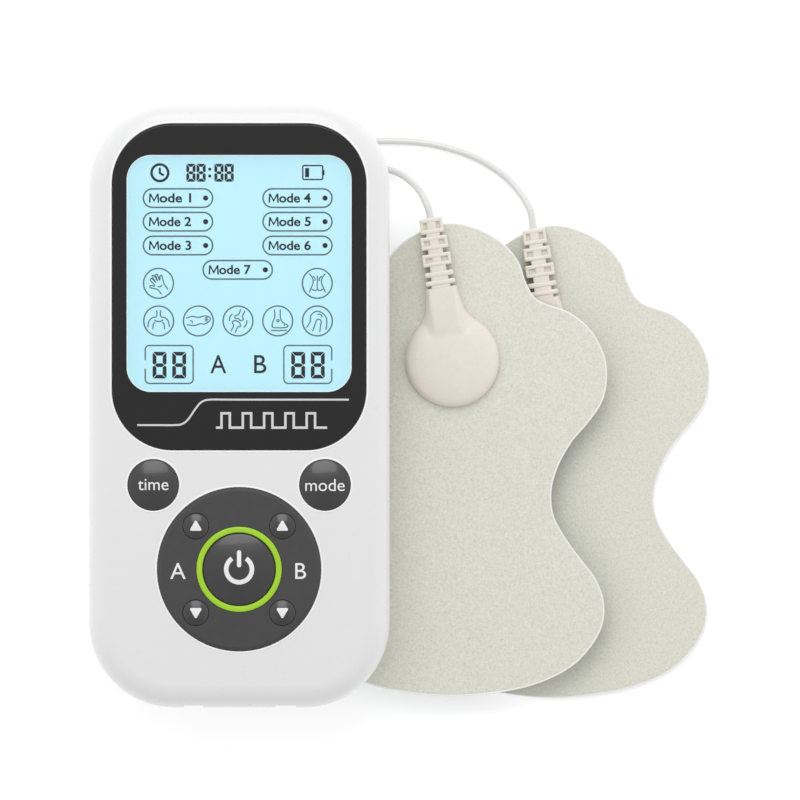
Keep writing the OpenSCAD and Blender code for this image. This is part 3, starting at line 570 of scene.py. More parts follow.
def cord_curve(name, pts, d, body, mat, nodes):
    cu = bpy.data.curves.new(name, "CURVE")
    cu.dimensions = "3D"
    sp = cu.splines.new("POLY")
    sp.points.add(len(pts) - 1)
    for p, q in zip(sp.points, pts):
        p.co = (q[0] * MM, q[1] * MM, q[2] * MM, 1)
    cu.bevel_depth, cu.bevel_resolution, cu.use_fill_caps = d / 2 * MM, 5, True
    for s in cu.splines:
        s.use_smooth = True
    cu.materials.append(mat)
    o = bpy.data.objects.new(name, cu)
    scene.collection.objects.link(o)
    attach(o, body)
    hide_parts(*nodes)
    return o


pa = catmull(route_a, 5)
pb = catmull(route_b, 5)
pm = catmull(route_main, 4) + coil_points() + catmull(route_tail, 4)
lead_a = cord_curve("lead_a", pa, 1.6, "handset", M["lead"], ["lead_branch_a"])
lead_b = cord_curve("lead_b", pb, 1.6, "handset", M["lead"], ["lead_branch_b"])
lead_m = cord_curve("lead_m", pm, 2.0, "handset", M["lead"], ["lead_main", "lead_coil", "lead_tail"])


def rbox(bm, lo, hi, r, seg=3):
    """Adds a box with rounded edges to bm, corners in millimetres."""
    tmp = bmesh.new()
    bmesh.ops.create_cube(tmp, size=1.0)
    for v in tmp.verts:
        v.co = Vector([(lo[k] + hi[k]) / 2 + v.co[k] * (hi[k] - lo[k]) for k in range(3)])
    bmesh.ops.bevel(tmp, geom=tmp.edges[:], offset=r, segments=seg, profile=0.5, affect="EDGES")
    me = bpy.data.meshes.new("tmp")
    tmp.to_mesh(me)
    tmp.free()
    bm.from_mesh(me)
    bpy.data.meshes.remove(me)


def loft(rows, cap0=True, cap1=True):
    """Quads between closed rows of equal length, as (verts, faces)."""
    n, verts, faces = len(rows[0]), [], []
    for r in rows:
        verts += r
    for i in range(len(rows) - 1):
        for k in range(n):
            faces.append((i * n + k, i * n + (k + 1) % n, (i + 1) * n + (k + 1) % n, (i + 1) * n + k))
    if cap0:
        faces.append(tuple(range(n - 1, -1, -1)))
    if cap1:
        faces.append(tuple(range((len(rows) - 1) * n, len(rows) * n)))
    return verts, faces


# ------------------------------------------------- snap connectors and boots
def smax(a, b, k):
    h = max(k - abs(a - b), 0.0) / k
    return max(a, b) + h * h * k / 4


def sstep(a, b, x):
    t = min(1.0, max(0.0, (x - a) / (b - a)))
    return t * t * (3 - 2 * t)


R_DISC = 10.2


# half width of the neck against the distance from the disc's centre
NECK = [(6.4, 7.88), (6.9, 7.42), (7.4, 6.92), (7.9, 6.36), (8.4, 5.80), (8.9, 5.33), (9.5, 4.90), (10.2, 4.54), (11.0, 4.26),
    (12.0, 4.02), (13.0, 3.84), (14.0, 3.69), (15.0, 3.56), (15.9, 3.46)]


def half_width(y):
    if y <= NECK[0][0]:
        return math.sqrt(max(1e-4, R_DISC * R_DISC - y * y)) if y < 5.8 else lerp(y, (5.8, math.sqrt(R_DISC ** 2 - 5.8 ** 2)), NECK[0])
    for p, q in zip(NECK, NECK[1:]):
        if y <= q[0]:
            return lerp(y, p, q)
    return NECK[-1][1]


def lerp(y, p, q):
    return p[1] + (q[1] - p[1]) * (y - p[0]) / (q[0] - p[0])


def top_z(x, y, w):
    """Height of the housing: a low dome, and a neck with a flat panel between two sloping sides."""
    r = min(1.0, math.hypot(x, y) / R_DISC)
    dome = 1.25 + 2.35 * math.sqrt(max(0.0, 1 - r ** 2.4))
    level = 3.80 - 0.28 * sstep(12.0, 5.0, y)
    pw = 2.58
    side = max(0.0, abs(x) - pw)
    soft = 0.35
    ramp_down = 0.85 * (math.sqrt(side * side + soft * soft) - soft)
    neck = level - ramp_down - 1.5 * sstep(7.2, 3.2, y)
    if y < 0.5:
        neck = 0.0
    z = smax(dome, neck, 0.30 + 0.5 * sstep(9.0, 5.0, y))
    d = max(0.0, w - abs(x))
    if y < 6:
        d = min(d, max(0.0, R_DISC - math.hypot(x, y)))
    edge = 1.0 - math.exp(-d / 0.22)
    return 0.9 + (z - 0.9) * (0.2 + 0.8 * edge)


def snap_housing(k):
    x0, y0, _ = PAD[k]
    zb = SNAP_Z[k]
    ys = [-R_DISC * math.cos(math.pi / 2 * i / 34) for i in range(35)]
    ys = [y + 1e-3 if i == 0 else y for i, y in enumerate(ys)]
    ys += [15.9 * i / 60 for i in range(1, 61)]
    us = [-math.cos(math.pi * j / 56) for j in range(57)]
    rows = []
    ca, sa = math.cos(TURN), math.sin(TURN)
    for y in ys:
        w = half_width(y)
        top = [(w * u, y, top_z(w * u, y, w)) for u in us]
        bot = [(w * u * 1.0, y, 0.45) for u in (1.0,)] + [((w - min(0.45, w * 0.5)) * u, y, 0.0) for u in (1.0, 0.5, 0.0, -0.5, -1.0)] + [(-w, y, 0.45)]
        rows.append([(x0 + px * ca - py * sa, y0 + px * sa + py * ca, zb + pz) for px, py, pz in top + bot])
    verts, faces = loft(rows)
    o = to_mesh("connector_" + k, verts, faces, 50)
    return own(o, M["ivory"], "handset", "connector_ivory", "snap_housing_" + k)


def snap_boot(k):
    x0, y0, _ = PAD[k]
    zb = SNAP_Z[k]
    bm = bmesh.new()
    H0, H1 = 0.35, 3.85
    blocks = [(20.65, 23.35, 3.12), (24.3, 27.1, 2.92), (27.75, 31.1, 2.5)]
    rings = [(16.45, 17.55, 3.22), (18.3, 19.45, 3.12)]
    for a, b, w in rings:
        rbox(bm, (-w, a, H0), (w, b, H1), 0.32)
    for a, b, w in blocks:
        t = 0.86 if b - a < 3 else 0.95
        rbox(bm, (-w, a, H0), (w, a + t, H1), 0.26)
        rbox(bm, (-w, b - t, H0), (w, b, H1), 0.26)
        for s in (-1, 1):
            rbox(bm, (min(s * w, s * (w - 0.72)), a + 0.2, H0 + 0.25), (max(s * w, s * (w - 0.72)), b - 0.2, H1 - 0.08), 0.24)
        rbox(bm, (-w + 0.3, a + 0.3, H0 + 0.3), (w - 0.3, b - 0.3, 3.12), 0.12)
        rbox(bm, (-1.02, a + 0.3, H0 + 0.4), (1.02, b - 0.3, 3.72), 0.3)
    # webs between the blocks, on the centre line
    for a, b, w in [(15.7, 16.8, 2.1), (17.2, 18.6, 1.9), (19.1, 21.0, 1.75), (22.9, 24.7, 1.62), (26.7, 28.1, 1.5)]:
        rbox(bm, (-w, a, 0.55), (w, b, 3.62), 0.3)
    # sleeve round the lead, seen through the windows
    n = 28
    rings_pts = []
    for y, r in [(15.7, 1.5), (20, 1.42), (25, 1.25), (30.9, 1.05), (31.25, 0.95)]:
        rings_pts.append([bm.verts.new((r * math.cos(2 * math.pi * j / n), y, EXIT_Z + r * math.sin(2 * math.pi * j / n))) for j in range(n)])
    for p, q in zip(rings_pts, rings_pts[1:]):
        for j in range(n):
            bm.faces.new((p[j], p[(j + 1) % n], q[(j + 1) % n], q[j]))
    bm.faces.new(rings_pts[0][::-1])
    bm.faces.new(rings_pts[-1])
    bmesh.ops.recalc_face_normals(bm, faces=bm.faces)
    bmesh.ops.transform(bm, matrix=Matrix.Scale(MM, 4) @ Matrix.Translation((x0, y0, zb)) @ Matrix.Rotation(TURN, 4, "Z"), verts=bm.verts)
    me = bpy.data.meshes.new("boot_" + k)
    bm.to_mesh(me)
    bm.free()
    finish_shading(me, 50)
    return own(link("boot_" + k, me), M["ivory"], "handset", "connector_ivory", "snap_boot_" + k)


for k in "ab":
    snap_housing(k)
    snap_boot(k)

# -------------------------------------------------------------------- pads
HALF = [(0, 39.4), (5.2, 38.3), (10.7, 35.3), (14.4, 31), (15.9, 26.8), (18.6, 22.7),
    (25.4, 20), (30, 16.2), (32.9, 11), (33.6, 6), (32.7, 0.9), (29.9, -3.5),
    (26.1, -8), (23.2, -13), (21.6, -18.4), (22, -24), (24.8, -29.3),
    (28.1, -33.8), (31.1, -37.8), (32.9, -42.7), (32.6, -48), (29.6, -53.3),
    (24.6, -57.8), (17, -61.1), (8.5, -62.8), (0, -63.4)]


def pad_outline():
    full = HALF + [(-x, y) for x, y in HALF[-2:0:-1]]
    n = len(full)
    out = []
    for i in range(n):
        a, b, c, d = full[i - 1], full[i], full[(i + 1) % n], full[(i + 2) % n]
        for k in range(6):
            t = k / 6
            out.append(tuple(0.5 * (2 * bb + (cc - aa) * t + (2 * aa - 5 * bb + 4 * cc - dd) * t * t + (3 * bb - aa - 3 * cc + dd) * t ** 3)
                             for aa, bb, cc, dd in zip(a, b, c, d)))
    return out


def inset(outline, dist):
    rows = ribbon(outline, 2 * dist, closed=True)
    # the outline runs clockwise, so the inner side is the right one
    cx = sum(p[0] for p in outline) / len(outline)
    area = sum(outline[i - 1][0] * outline[i][1] - outline[i][0] * outline[i - 1][1] for i in range(len(outline)))
    side = 0 if area > 0 else 1
    return [r[side] for r in rows]


OUT = pad_outline()


def pad(k):
    x, sy, z = PAD[k]
    dy = 0.0 if k == "a" else -0.4
    zt, zb = z + 1.3, z + 0.7
    place = lambda pts, h: [(x + px, dy + py, h) for px, py in pts]
    # backing: rolled edge, then the flat face
    rows = [place(inset(OUT, 0.50), zb), place(inset(OUT, 0.25), zb), place(inset(OUT, 0.25), zt - 0.07), place(inset(OUT, 0.40), zt - 0.05), place(inset(OUT, 0.52), zt - 0.01), place(inset(OUT, 0.7), zt)]
    verts, faces = loft(rows)
    o = to_mesh("pad_%s_cloth" % k, verts, faces, 60)
    own(o, M["fabric"], "pad_" + k, "pad_fabric", "pad_%s_backing" % k)
    # pale welded edge round the backing
    prof = [(0.02, zb), (0.0, zb + 0.12), (0.0, zt - 0.14), (0.05, zt - 0.04), (0.13, zt + 0.01), (0.23, zt + 0.02), (0.32, zt), (0.38, zt - 0.06), (0.38, zb)]
    rows = [place(inset(OUT, a) if a > 0 else OUT, h) for a, h in prof]
    n = len(OUT)
    verts = [v for r in rows for v in r]
    faces = []
    for i in range(len(rows)):
        a, b = i * n, ((i + 1) % len(rows)) * n
        for j in range(n):
            faces.append((a + j, a + (j + 1) % n, b + (j + 1) % n, b + j))
    e = to_mesh("pad_%s_edge" % k, verts, faces, 50)
    own(e, M["edge"], "pad_" + k, "pad_fabric")
    area = abs(sum(OUT[i - 1][0] * OUT[i][1] - OUT[i][0] * OUT[i - 1][1] for i in range(len(OUT)))) / 2
    inner = inset(OUT, 0.25)
    return o


for k in "ab":
    pad(k)

# ------------------------------------------------- window, and white rims painted lighter than the case as a highlight
def outline_rows(sections):
    """Closed band whose cross-section is a loop: each section is (outline, height)."""
    n = len(sections[0][0])
    verts, faces = [], []
    for pts, h in sections:
        verts += [(px, py, h) for px, py in pts]
    for i in range(len(sections)):
        a, b = i * n, ((i + 1) % len(sections)) * n
        faces += [(a + j, a + (j + 1) % n, b + (j + 1) % n, b + j) for j in range(n)]
    return verts, faces


WIN = (-27.4, -9.8, 27.4, 60.6, 13.0)
VIEW = (-24.3, 2.7, 24.3, 53.9, 5.3)


def rr(box, grow, n=24):
    x0, y0, x1, y1, r = box
    return round_rect(x0 - grow, y0 - grow, x1 + grow, y1 + grow, r + grow, n)


secs = [(rr(WIN, 0.0), 28.9), (rr(WIN, 0.0), 29.7), (rr(WIN, -0.06), 29.87), (rr(WIN, -0.18), 29.98), (rr(WIN, -0.34), 30.0), (rr(VIEW, 0.0), 30.0), (rr(VIEW, 0.0), 28.9)]
own(to_mesh("window_border", *outline_rows(secs), 40), M["border"], "handset", "lens_clear", "window_lens")
v, f = extrude_outline(rr(VIEW, -0.01), 28.92, 29.995)
own(to_mesh("window_view", v, f, 30), M["lens"], "handset", "lens_clear")

# bead round the window mouth, coloured lighter than the case as a painted highlight
BEAD = [(0.12, 29.3), (0.13, 29.93), (0.17, 30.05), (0.27, 30.11), (0.38, 30.12), (0.48, 30.08), (0.56, 29.99), (0.58, 29.5)]
own(to_mesh("window_rim", *outline_rows([(rr(WIN, d), h) for d, h in BEAD]), 50), M["rim"], "handset", "case_white")

# ----------------------------------------------------------------- buttons
DIAL = (0.0, -35.6)
KEYS = {"time": (-18.55, -17.4), "mode": (18.55, -17.4)}
ARROWS = {"a_up": (-9.35, 9.35), "a_down": (-9.35, -9.35), "b_up": (9.35, 9.35), "b_down": (9.35, -9.35)}


def dome_button(name, body, centre, r, edge_z, h, nodes):
    """Domed cap with a tight edge radius, its flange and its stem."""
    prof = [(0, 25.35), (1.5, 25.35), (1.5, 26.7), (r + 0.8, 26.7), (r + 0.8, 27.4), (r, 27.4), (r, edge_z - 0.12)]
    prof += [(r - 0.12 * (1 - math.cos(a)), edge_z - 0.12 + 0.12 * math.sin(a)) for a in (0.4, 0.8, 1.2)]
    for i in range(1, 25):
        q = (r - 0.10) * (1 - i / 24)
        prof.append((q, edge_z + h * (1 - (q / r) ** 2)))
    o = revolve(name, prof, centre, 128, 38)
    return own(o, M["button"], body, "button_dark", *nodes)


def dome_height(centre, r, edge_z, h):
    return lambda x, y: edge_z + h * (1 - ((x - centre[0]) ** 2 + (y - centre[1]) ** 2) / (r * r))


for k, c in KEYS.items():
    dome_button("key_" + k, "button_" + k, c, 5.45, 29.95, 0.95, ["button_" + k])
    # bead round each key, coloured lighter than the case as a painted highlight
    own(loop_profile("rim_" + k, [(5.45 + d, h) for d, h in BEAD], c, 128, 50), M["rim"], "handset", "case_white")
    t = words("label_" + k, k, (c[0], c[1] + (0.1 if k == "time" else 0.0)), 2.75, 31.0, width=6.6 if k == "time" else 8.5, bold=0.0)
    drape(t, dome_height(c, 5.45, 29.95, 0.95), 0.03)
    own(t, M["ink"], "button_" + k, "button_dark")

# bead round the dial, coloured lighter than the case as a painted highlight
own(loop_profile("rim_dial", [(17.6 + d, h) for d, h in BEAD], DIAL, 192, 50), M["rim"], "handset", "case_white")
dome_button("key_power", "button_power", DIAL, 7.85, 30.15, 1.05, ["button_power"])
pz = dome_height(DIAL, 7.85, 30.15, 1.05)
ink = Ink(31.0, 31.02)
arc = [(DIAL[0] + 2.78 * math.sin(math.radians(a)), DIAL[1] + 2.78 * math.cos(math.radians(a))) for a in np.linspace(33, 327, 60)]
ink.line(arc, 0.98)
power_ring = drape(ink.done("power_ring"), pz, 0.03)
own(power_ring, M["ink"], "button_power", "button_dark")
ink = Ink(31.0, 31.02)
ink.shape(round_rect(DIAL[0] - 0.46, DIAL[1] + 0.45, DIAL[0] + 0.46, DIAL[1] + 4.1, 0.44))
power_stem = drape(ink.done("power_stem"), pz, 0.035)
own(power_stem, M["ink"], "button_power", "button_dark")

for k, (dx, dy) in ARROWS.items():
    c = (DIAL[0] + dx, DIAL[1] + dy)
    dome_button("key_" + k, "button_" + k, c, 2.8, 30.42, 0.7, ["button_" + k])
    up = 1 if k.endswith("up") else -1
    tri = [(c[0] - 1.3, c[1] - 0.95 * up), (c[0] + 1.3, c[1] - 0.95 * up), (c[0], c[1] + 1.3 * up)]
    # rounded triangle: a circle of 0.28 at each corner
    gx, gy = sum(p[0] for p in tri) / 3, sum(p[1] for p in tri) / 3
    pts = []
    for p in tri:
        d = math.hypot(gx - p[0], gy - p[1])
        q = (p[0] + (gx - p[0]) / d * 0.42, p[1] + (gy - p[1]) / d * 0.42)
        a0 = math.atan2(p[1] - gy, p[0] - gx)
        pts += [(q[0] + 0.28 * math.cos(a0 + math.radians(s * up)), q[1] + 0.28 * math.sin(a0 + math.radians(s * up))) for s in range(-60, 61, 15)]
    ink = Ink(31.0, 31.02)
    ink.shape(pts)
    tr = drape(ink.done("arrow_" + k), dome_height(c, 2.8, 30.42, 0.7), 0.03, grain=0.3)
    own(tr, M["ink"], "button_" + k, "button_dark")

# light ring: rounded crown between the dial and the power button
prof = [(7.95, 27.0), (9.22, 27.0), (9.22, 30.42)]
prof += [(9.22 - 0.25 * (1 - math.cos(a)), 30.42 + 0.25 * math.sin(a)) for a in (0.5, 1.0, 1.57)]
prof += [(8.2 - 0.25 * math.sin(a), 30.42 + 0.25 * math.cos(a)) for a in (0.0, 0.6, 1.1)] + [(7.95, 30.42)]
own(loop_profile("light_ring_crown", prof, DIAL, 160, 45), M["lime"], "handset", "ring_lime", "light_ring")

for t, x in (("A", -13.2), ("B", 13.3)):
    own(words("dial_" + t, t, (x, DIAL[1] - 0.35), 3.65, 30.455, thick=0.03), M["ink"], "handset", "dial_grey")

# ------------------------------------------------------------ LCD graphics
LZ, BOLD = 27.6, 0.0
dark, thin = Ink(LZ + 0.005, LZ + 0.035), Ink(LZ + 0.005, LZ + 0.03)


def digit(x0, y0, w, h, t):
    """Seven-segment eight: mitred segments with small gaps, filled corners."""
    g, c = t * 0.10, t * 0.22
    x1, y1, ym = x0 + w, y0 + h, y0 + h / 2
    for ya, yb in ((y1, y1 - t), (y0, y0 + t)):
        s1 = 1 if yb > ya else -1
        dark.shape([(x0 + c + g, ya), (x1 - c - g, ya), (x1 - g - c * 0.45, ya + s1 * c * 0.45), (x1 - t - g, yb), (x0 + t + g, yb), (x0 + g + c * 0.45, ya + s1 * c * 0.45)])
    dark.shape([(x0 + t * 0.5 + g, ym), (x0 + t + g, ym - t / 2), (x1 - t - g, ym - t / 2), (x1 - t * 0.5 - g, ym), (x1 - t - g, ym + t / 2), (x0 + t + g, ym + t / 2)])
    for xo, s0 in ((x0, 1), (x1, -1)):
        for yo, s1 in ((y0, 1), (y1, -1)):
            e = ym - s1 * g
            dark.shape([(xo, yo + s1 * (c + g)), (xo + s0 * c * 0.45, yo + s1 * (g + c * 0.45)), (xo + s0 * t, yo + s1 * (t + g)), (xo + s0 * t, e - s1 * t * 0.5), (xo + s0 * t * 0.5, e), (xo, e - s1 * t * 0.3)])


# clock
dark.circle((-17.14, 50.07), 1.80, 0.54)
dark.line([(-17.14, 51.2), (-17.14, 50.0), (-16.30, 49.50)], 0.46)
for x in (-11.42, -9.22, -5.36, -3.16):
    digit(x, 48.14, 1.98, 3.86, 0.64)
for y in (49.35, 50.85):
    dark.dot((-6.36, y), 0.34, 16)
# battery
dark.line(round_rect(13.75, 48.62, 18.05, 51.62, 0.25, 4), 0.30, closed=True)
dark.shape(round_rect(18.08, 49.55, 18.42, 50.7, 0.12, 4))
dark.shape(round_rect(14.25, 49.1, 15.1, 51.1, 0.08, 3))

pills = [(-20.7, 42.6, -5.75), (-20.7, 37.5, -5.75), (-20.7, 32.35, -5.75), (5.15, 42.6, 20.05), (5.15, 37.5, 20.05), (5.15, 32.35, 20.05), (-7.8, 27.1, 7.15)]
for x0, y0, x1 in pills:
    thin.line(round_rect(x0, y0, x1, y0 + 4.0, 1.98, 14), 0.33, closed=True)
    dark.dot((x1 - 1.5, y0 + 2.0), 0.56)
for i, (x0, y0, x1) in enumerate(pills):
    h, mx = 2.0, x0 + 1.35
    b, t = y0 + 2 - h / 2, y0 + 2 + h / 2
    dark.line([(mx, b), (mx + 0.12, t - 0.02)], 0.33)
    dark.line([(mx + 1.9, b), (mx + 1.78, t - 0.02)], 0.33)
    dark.line([(mx + 0.14, t - 0.10), (mx + 0.95, b + 0.42), (mx + 1.76, t - 0.10)], 0.30)
    w = words("lcd_mode_%d" % (i + 1), "ode %d" % (i + 1), (mx + 5.55, y0 + 2.03), 2.0, LZ + 0.005, thick=0.03, width=6.85, bold=0.024)
    own(w, M["lcd_ink"], "handset", "lcd_glass")

ICONS = [(-17.44, 26.18), (16.88, 26.18), (-17.4, 18.05), (-8.82, 18.05), (-0.25, 18.05), (8.33, 18.05), (16.9, 18.05)]
for c in ICONS:
    thin.circle(c, 3.22, 0.30)


def art(c, *lines, w=0.25):
    for pts in lines:
        pts3 = catmull([(p[0], p[1], 0.0) for p in pts], 6)
        thin.line([(c[0] + p[0], c[1] + p[1]) for p in pts3], w)


# plain line pictograms of this model's own drawing


def turned(lines, deg, k=1.0):
    c, d = math.cos(math.radians(deg)) * k, math.sin(math.radians(deg)) * k
    return [[(x * c - y * d, x * d + y * c) for x, y in pts] for pts in lines]


def mirrored(lines):
    return lines + [[(-x, y) for x, y in pts] for pts in lines]


hand = [[(-0.9, -2.5), (-1.0, -1.1), (-1.7, -0.3), (-2.15, 0.35), (-1.85, 0.62), (-1.15, 0.0), (-1.0, 0.5), (-1.15, 1.6), (-0.82, 1.9), (-0.55, 1.6),
         (-0.42, 0.65), (-0.36, 2.0), (-0.05, 2.28), (0.22, 2.0), (0.16, 0.65), (0.5, 1.85), (0.82, 2.0), (0.95, 1.7), (0.68, 0.5), (1.25, 1.15),
         (1.6, 1.2), (1.62, 0.85), (1.15, -0.4), (1.0, -1.2), (1.0, -2.5)], [(-0.6, -0.5), (-0.1, -0.9), (0.5, -0.8)]]
torso = mirrored([[(-1.75, 2.1), (-1.1, 1.25), (-0.9, 0.2), (-1.25, -0.8), (-1.75, -1.95)], [(-0.95, 1.55), (-0.5, 1.1), (-0.52, 0.5)],
                  [(-1.25, -1.25), (-0.5, -1.55), (0.0, -1.3)]]) + [[(0.0, 1.7), (0.06, 0.6), (-0.04, -0.4), (0.0, -1.2)]]
shoulders = mirrored([[(-2.35, -1.35), (-2.05, 0.0), (-1.35, 0.7), (-0.55, 0.9), (-0.36, 1.6), (-0.45, 2.3)], [(-1.25, -1.8), (-1.15, -0.7), (-0.75, -0.25)],
                      [(-1.0, 0.25), (-0.5, -0.05), (0.0, -0.12)]])
arm = [[(-2.55, 0.95), (-1.2, 1.15), (0.2, 0.75), (1.3, 0.9), (2.3, 0.62), (2.62, 0.15), (2.3, -0.4), (1.2, -0.85), (0.4, -0.65), (-1.0, -0.85), (-2.55, -0.45)],
       [(1.55, 0.48), (2.1, 0.42)], [(1.45, 0.15), (2.15, 0.08)], [(1.45, -0.2), (2.0, -0.26)], [(-1.75, 0.35), (-1.35, 0.1), (-1.3, -0.3)]]
joint = [[(-0.5, 2.6), (-0.45, 1.35), (-1.0, 0.85), (-0.8, 0.3), (-0.15, 0.48), (0.45, 0.28), (0.9, 0.75), (0.45, 1.35), (0.5, 2.6)],
         [(-0.5, -2.6), (-0.45, -1.35), (-1.0, -0.8), (-0.75, -0.25), (-0.1, -0.1), (0.55, -0.3), (0.9, -0.85), (0.45, -1.35), (0.5, -2.6)],
         [(-1.7, 0.9), (-1.95, 0.1), (-1.7, -0.8)], [(1.7, 0.9), (1.95, 0.1), (1.7, -0.8)]]
foot = [[(-0.7, 2.5), (-0.65, 0.9), (-1.15, -0.5), (-1.05, -1.35), (0.5, -1.5), (1.9, -1.35), (2.15, -0.95), (1.3, -0.45), (0.6, 0.5), (0.55, 2.5)],
        [(-1.5, -2.0), (0.2, -2.1), (2.0, -2.0)], [(-0.25, 0.15), (0.1, 0.3), (0.3, 0.0), (0.0, -0.2), (-0.25, 0.15)], [(1.35, -0.75), (1.5, -1.0)]]
knee = [[(-2.0, -1.9), (-1.5, -0.5), (-1.6, 0.9), (-0.7, 1.95), (0.6, 1.95), (1.7, 1.1), (2.1, -0.1), (2.2, -1.5)],
        [(-0.55, -2.4), (-0.35, -0.9), (-0.2, 0.1), (0.3, 0.45), (0.8, 0.1), (0.9, -0.9), (1.0, -2.3)], [(-0.3, 1.35), (0.2, 1.55), (0.75, 1.3), (0.7, 0.95)]]
for c, lines in zip(ICONS, (turned(hand, 35, 0.92), torso, shoulders, turned(arm, 8), turned(joint, -24), foot, turned(knee, -12))):
    art(c, *lines)

# channel boxes, open at the outer side, with two digits each
for x0, x1, out in ((-20.3, -9.95, -1), (9.65, 20.0, 1)):
    y0, y1, r = 4.55, 12.75, 0.9
    mid = (y0 + y1) / 2
    # the line starts and ends at the gap in the outer side
    if out > 0:
        path = [(x1, mid + 0.9)] + [(x1 - r + r * math.cos(math.radians(a)), y1 - r + r * math.sin(math.radians(a))) for a in range(0, 91, 15)]
        path += [(x0 + r + r * math.cos(math.radians(a)), y1 - r + r * math.sin(math.radians(a))) for a in range(90, 181, 15)]
        path += [(x0 + r + r * math.cos(math.radians(a)), y0 + r + r * math.sin(math.radians(a))) for a in range(180, 271, 15)]
        path += [(x1 - r + r * math.cos(math.radians(a)), y0 + r + r * math.sin(math.radians(a))) for a in range(270, 361, 15)] + [(x1, mid - 0.9)]
    else:
        path = [(x0, mid + 0.9)] + [(x0 + r + r * math.cos(math.radians(a)), y1 - r + r * math.sin(math.radians(a))) for a in range(180, 89, -15)]
        path += [(x1 - r + r * math.cos(math.radians(a)), y1 - r + r * math.sin(math.radians(a))) for a in range(90, -1, -15)]
        path += [(x1 - r + r * math.cos(math.radians(a)), y0 + r + r * math.sin(math.radians(a))) for a in range(0, -91, -15)]
        path += [(x0 + r + r * math.cos(math.radians(a)), y0 + r + r * math.sin(math.radians(a))) for a in range(270, 179, -15)] + [(x0, mid - 0.9)]
    thin.line(path, 0.30)
    cx = (x0 + x1) / 2
    digit(cx - 3.58, 5.62, 3.0, 5.75, 0.82)
    digit(cx + 0.66, 5.62, 3.0, 5.75, 0.82)

own(dark.done("lcd_segments"), M["lcd_ink"], "handset", "lcd_glass")
own(thin.done("lcd_outlines"), M["lcd_thin"], "handset", "lcd_glass")
for t, x, w in (("A", -4.5, 3.45), ("B", 4.55, 2.65)):
    own(words("lcd_" + t, t, (x, 8.72), 4.15, LZ + 0.005, thick=0.03, width=w, bold=0.004), M["lcd_ink"], "handset", "lcd_glass")
# brighter edge of the display: a painted highlight along the window edge, made as a faint glowing line
glow = Ink(LZ + 0.005, LZ + 0.02)
glow.line(rr(VIEW, -0.16)[::-1], 0.30, closed=True)
own(glow.done("lcd_edge_painted_highlight"), M["lcd_edge"], "handset", "lcd_glass")

# printed line under the display, and a plain pulse train in place of any name
trim = Ink(30.002, 30.012)
s_curve = [(-22.0, -4.45), (-18.0, -4.45), (-14.0, -4.45), (-12.3, -4.2), (-11.0, -3.2), (-9.4, -0.9), (-8.1, 0.55), (-6.3, 1.05), (-2.0, 1.05), (8.0, 1.05), (16.0, 1.05), (23.7, 1.05)]
trim.line([p[:2] for p in catmull([(x, y, 0.0) for x, y in s_curve], 6)], 0.40)
own(trim.done("window_line"), M["line"], "handset", "lens_clear")
pulse = Ink(30.002, 30.012)
x, pts = -5.0, [(-5.0, -5.0)]
for i in range(5):
    pts += [(x + 1.2, -5.0), (x + 1.2, -1.9), (x + 3.0, -1.9), (x + 3.0, -5.0)]
    x += 4.6
pts.append((x + 1.0, -5.0))
pulse.line(pts, 0.52)
own(pulse.done("window_pulse"), M["line"], "handset", "lens_clear")

# ------------------------------------------------------ splitter and plug
rows = []
for y, w, h in [(1.6, 1.3, 2.4), (2.0, 1.9, 2.9), (4.0, 2.5, 3.1), (6.0, 3.3, 3.2), (8.6, 3.5, 3.2), (9.5, 3.3, 3.0), (9.8, 2.9, 2.6)]:
    rows.append([(-23.5 + w * (abs(math.cos(a)) ** 0.6) * math.copysign(1, math.cos(a)), y, 1.62 + h / 2 * (abs(math.sin(a)) ** 0.7) * math.copysign(1, math.sin(a)))
                 for a in [2 * math.pi * k / 40 for k in range(40)]])
own(to_mesh("splitter_body", *loft(rows), 45), M["lead"], "handset", "lead_white", "y_splitter")

prof = [(0, 0.0), (1.15, 0.0), (1.25, 0.3)]
for i in range(4):
    b = 0.5 + 1.35 * i
    r = 1.35 + 0.12 * i
    prof += [(r, b), (r + 0.25, b + 0.12), (r + 0.25, b + 0.75), (r, b + 0.87)]
prof += [(2.0, 6.2), (2.45, 6.6), (2.65, 7.2)]
for i in range(6):
    b = 9.0 + 1.5 * i
    prof += [(2.65, b), (2.42, b + 0.2), (2.42, b + 0.55), (2.65, b + 0.75)]
prof += [(2.65, 21.2), (2.5, 21.75), (2.2, 22.0), (0, 22.0)]
plug = revolve("plug_grip", [(r, z) for r, z in prof], (0, 0), 64, 45)
for v in plug.data.vertices:
    x, y, z = v.co / MM
    v.co = Vector((24.6 + x, -30 + z, 2.8 - y)) * MM
plug.data.update()
own(plug, M["lead"], "handset", "lead_white", "plug_body")

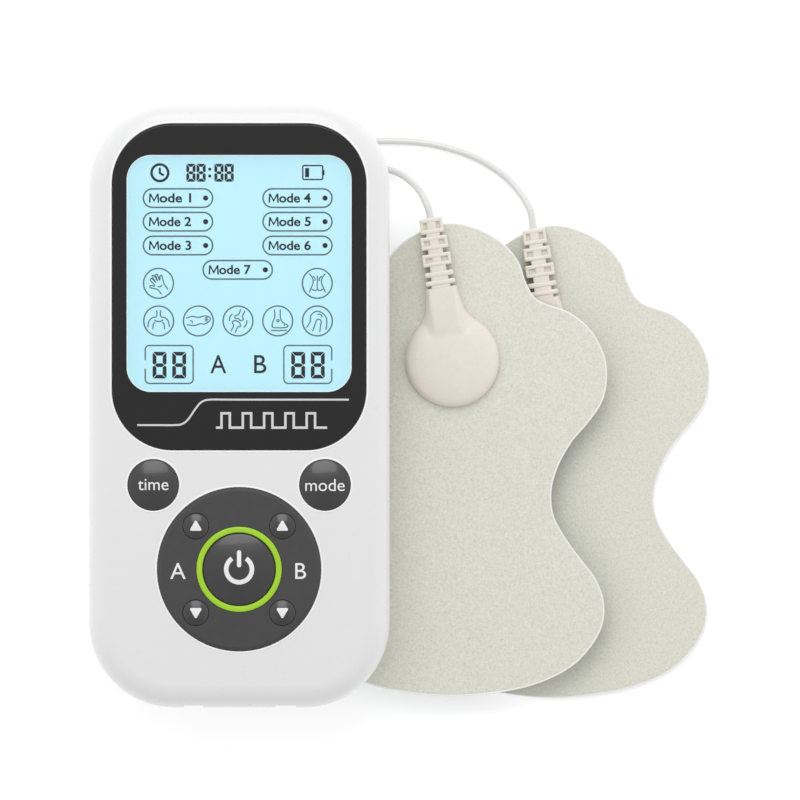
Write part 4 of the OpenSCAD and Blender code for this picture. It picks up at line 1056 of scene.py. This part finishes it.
# ------------------------------------------------------------------- stage
bpy.ops.mesh.primitive_plane_add(size=6.0, location=(0, 0, -0.0002))
floor = bpy.context.object
floor.name = "floor"
fm, nt, b = new_mat("floor_white", (0.93, 0.93, 0.93), 0.9, spec=0.1, emission=(1.0, 1.0, 1.0), emit=0.31)
nt.links.new(ramp(nt, noise(nt, coords(nt), 3.0, 2.0), [(0.3, (0.925, 0.925, 0.925)), (0.7, (0.935, 0.935, 0.935))]), b.inputs["Base Color"])
paint(floor, fm)

# A light tent: bright side walls, a softer top wall and a dim near wall; the overhead factor is set to 1.0 and dims
# nothing
SIDE, NEAR, FAR, OVERHEAD = 0.42, 0.62, 0.82, 1.0
world = bpy.data.worlds.new("studio")
scene.world = world
world.use_nodes = True
wt = world.node_tree
back = wt.nodes["Background"]
xyz = wt.nodes.new("ShaderNodeSeparateXYZ")
wt.links.new(wt.nodes.new("ShaderNodeTexCoord").outputs["Generated"], xyz.inputs[0])


def wmath(op, a, b=None, c=None):
    n = wt.nodes.new("ShaderNodeMath")
    n.operation = op
    for i, v in enumerate((a, b, c)):
        if v is None:
            continue
        if isinstance(v, float):
            n.inputs[i].default_value = v
        else:
            wt.links.new(v, n.inputs[i])
    return n.outputs[0]


def wstep(v, lo, hi, to_lo, to_hi):
    n = wt.nodes.new("ShaderNodeMapRange")
    n.interpolation_type = "SMOOTHSTEP"
    n.inputs["From Min"].default_value, n.inputs["From Max"].default_value = lo, hi
    n.inputs["To Min"].default_value, n.inputs["To Max"].default_value = to_lo, to_hi
    wt.links.new(v, n.inputs["Value"])
    return n.outputs["Result"]


wall = wmath("ADD", wmath("MULTIPLY", wmath("MULTIPLY", xyz.outputs["X"], xyz.outputs["X"]), SIDE), wstep(xyz.outputs["Y"], -0.75, 0.75, NEAR, FAR))
top = wstep(xyz.outputs["Z"], 0.82, 0.985, 1.0, OVERHEAD)
wt.links.new(wmath("MULTIPLY", wall, top), back.inputs["Strength"])
back.inputs["Color"].default_value = (1, 1, 1, 1)

lamp = bpy.data.lights.new("key", "AREA")
lamp.energy, lamp.size = 0.75, 0.34
key_light = bpy.data.objects.new("key", lamp)
scene.collection.objects.link(key_light)
key_light.location = (0.0, 0.30, 0.42)
key_light.rotation_mode = "QUATERNION"
key_light.rotation_quaternion = (Vector((0.02, 0.02, 0.0)) - key_light.location).to_track_quat("-Z", "Y")

scene.view_settings.view_transform = "Standard"
scene.view_settings.look = "None"
scene.view_settings.exposure = 0.0
scene.view_settings.gamma = 1.0
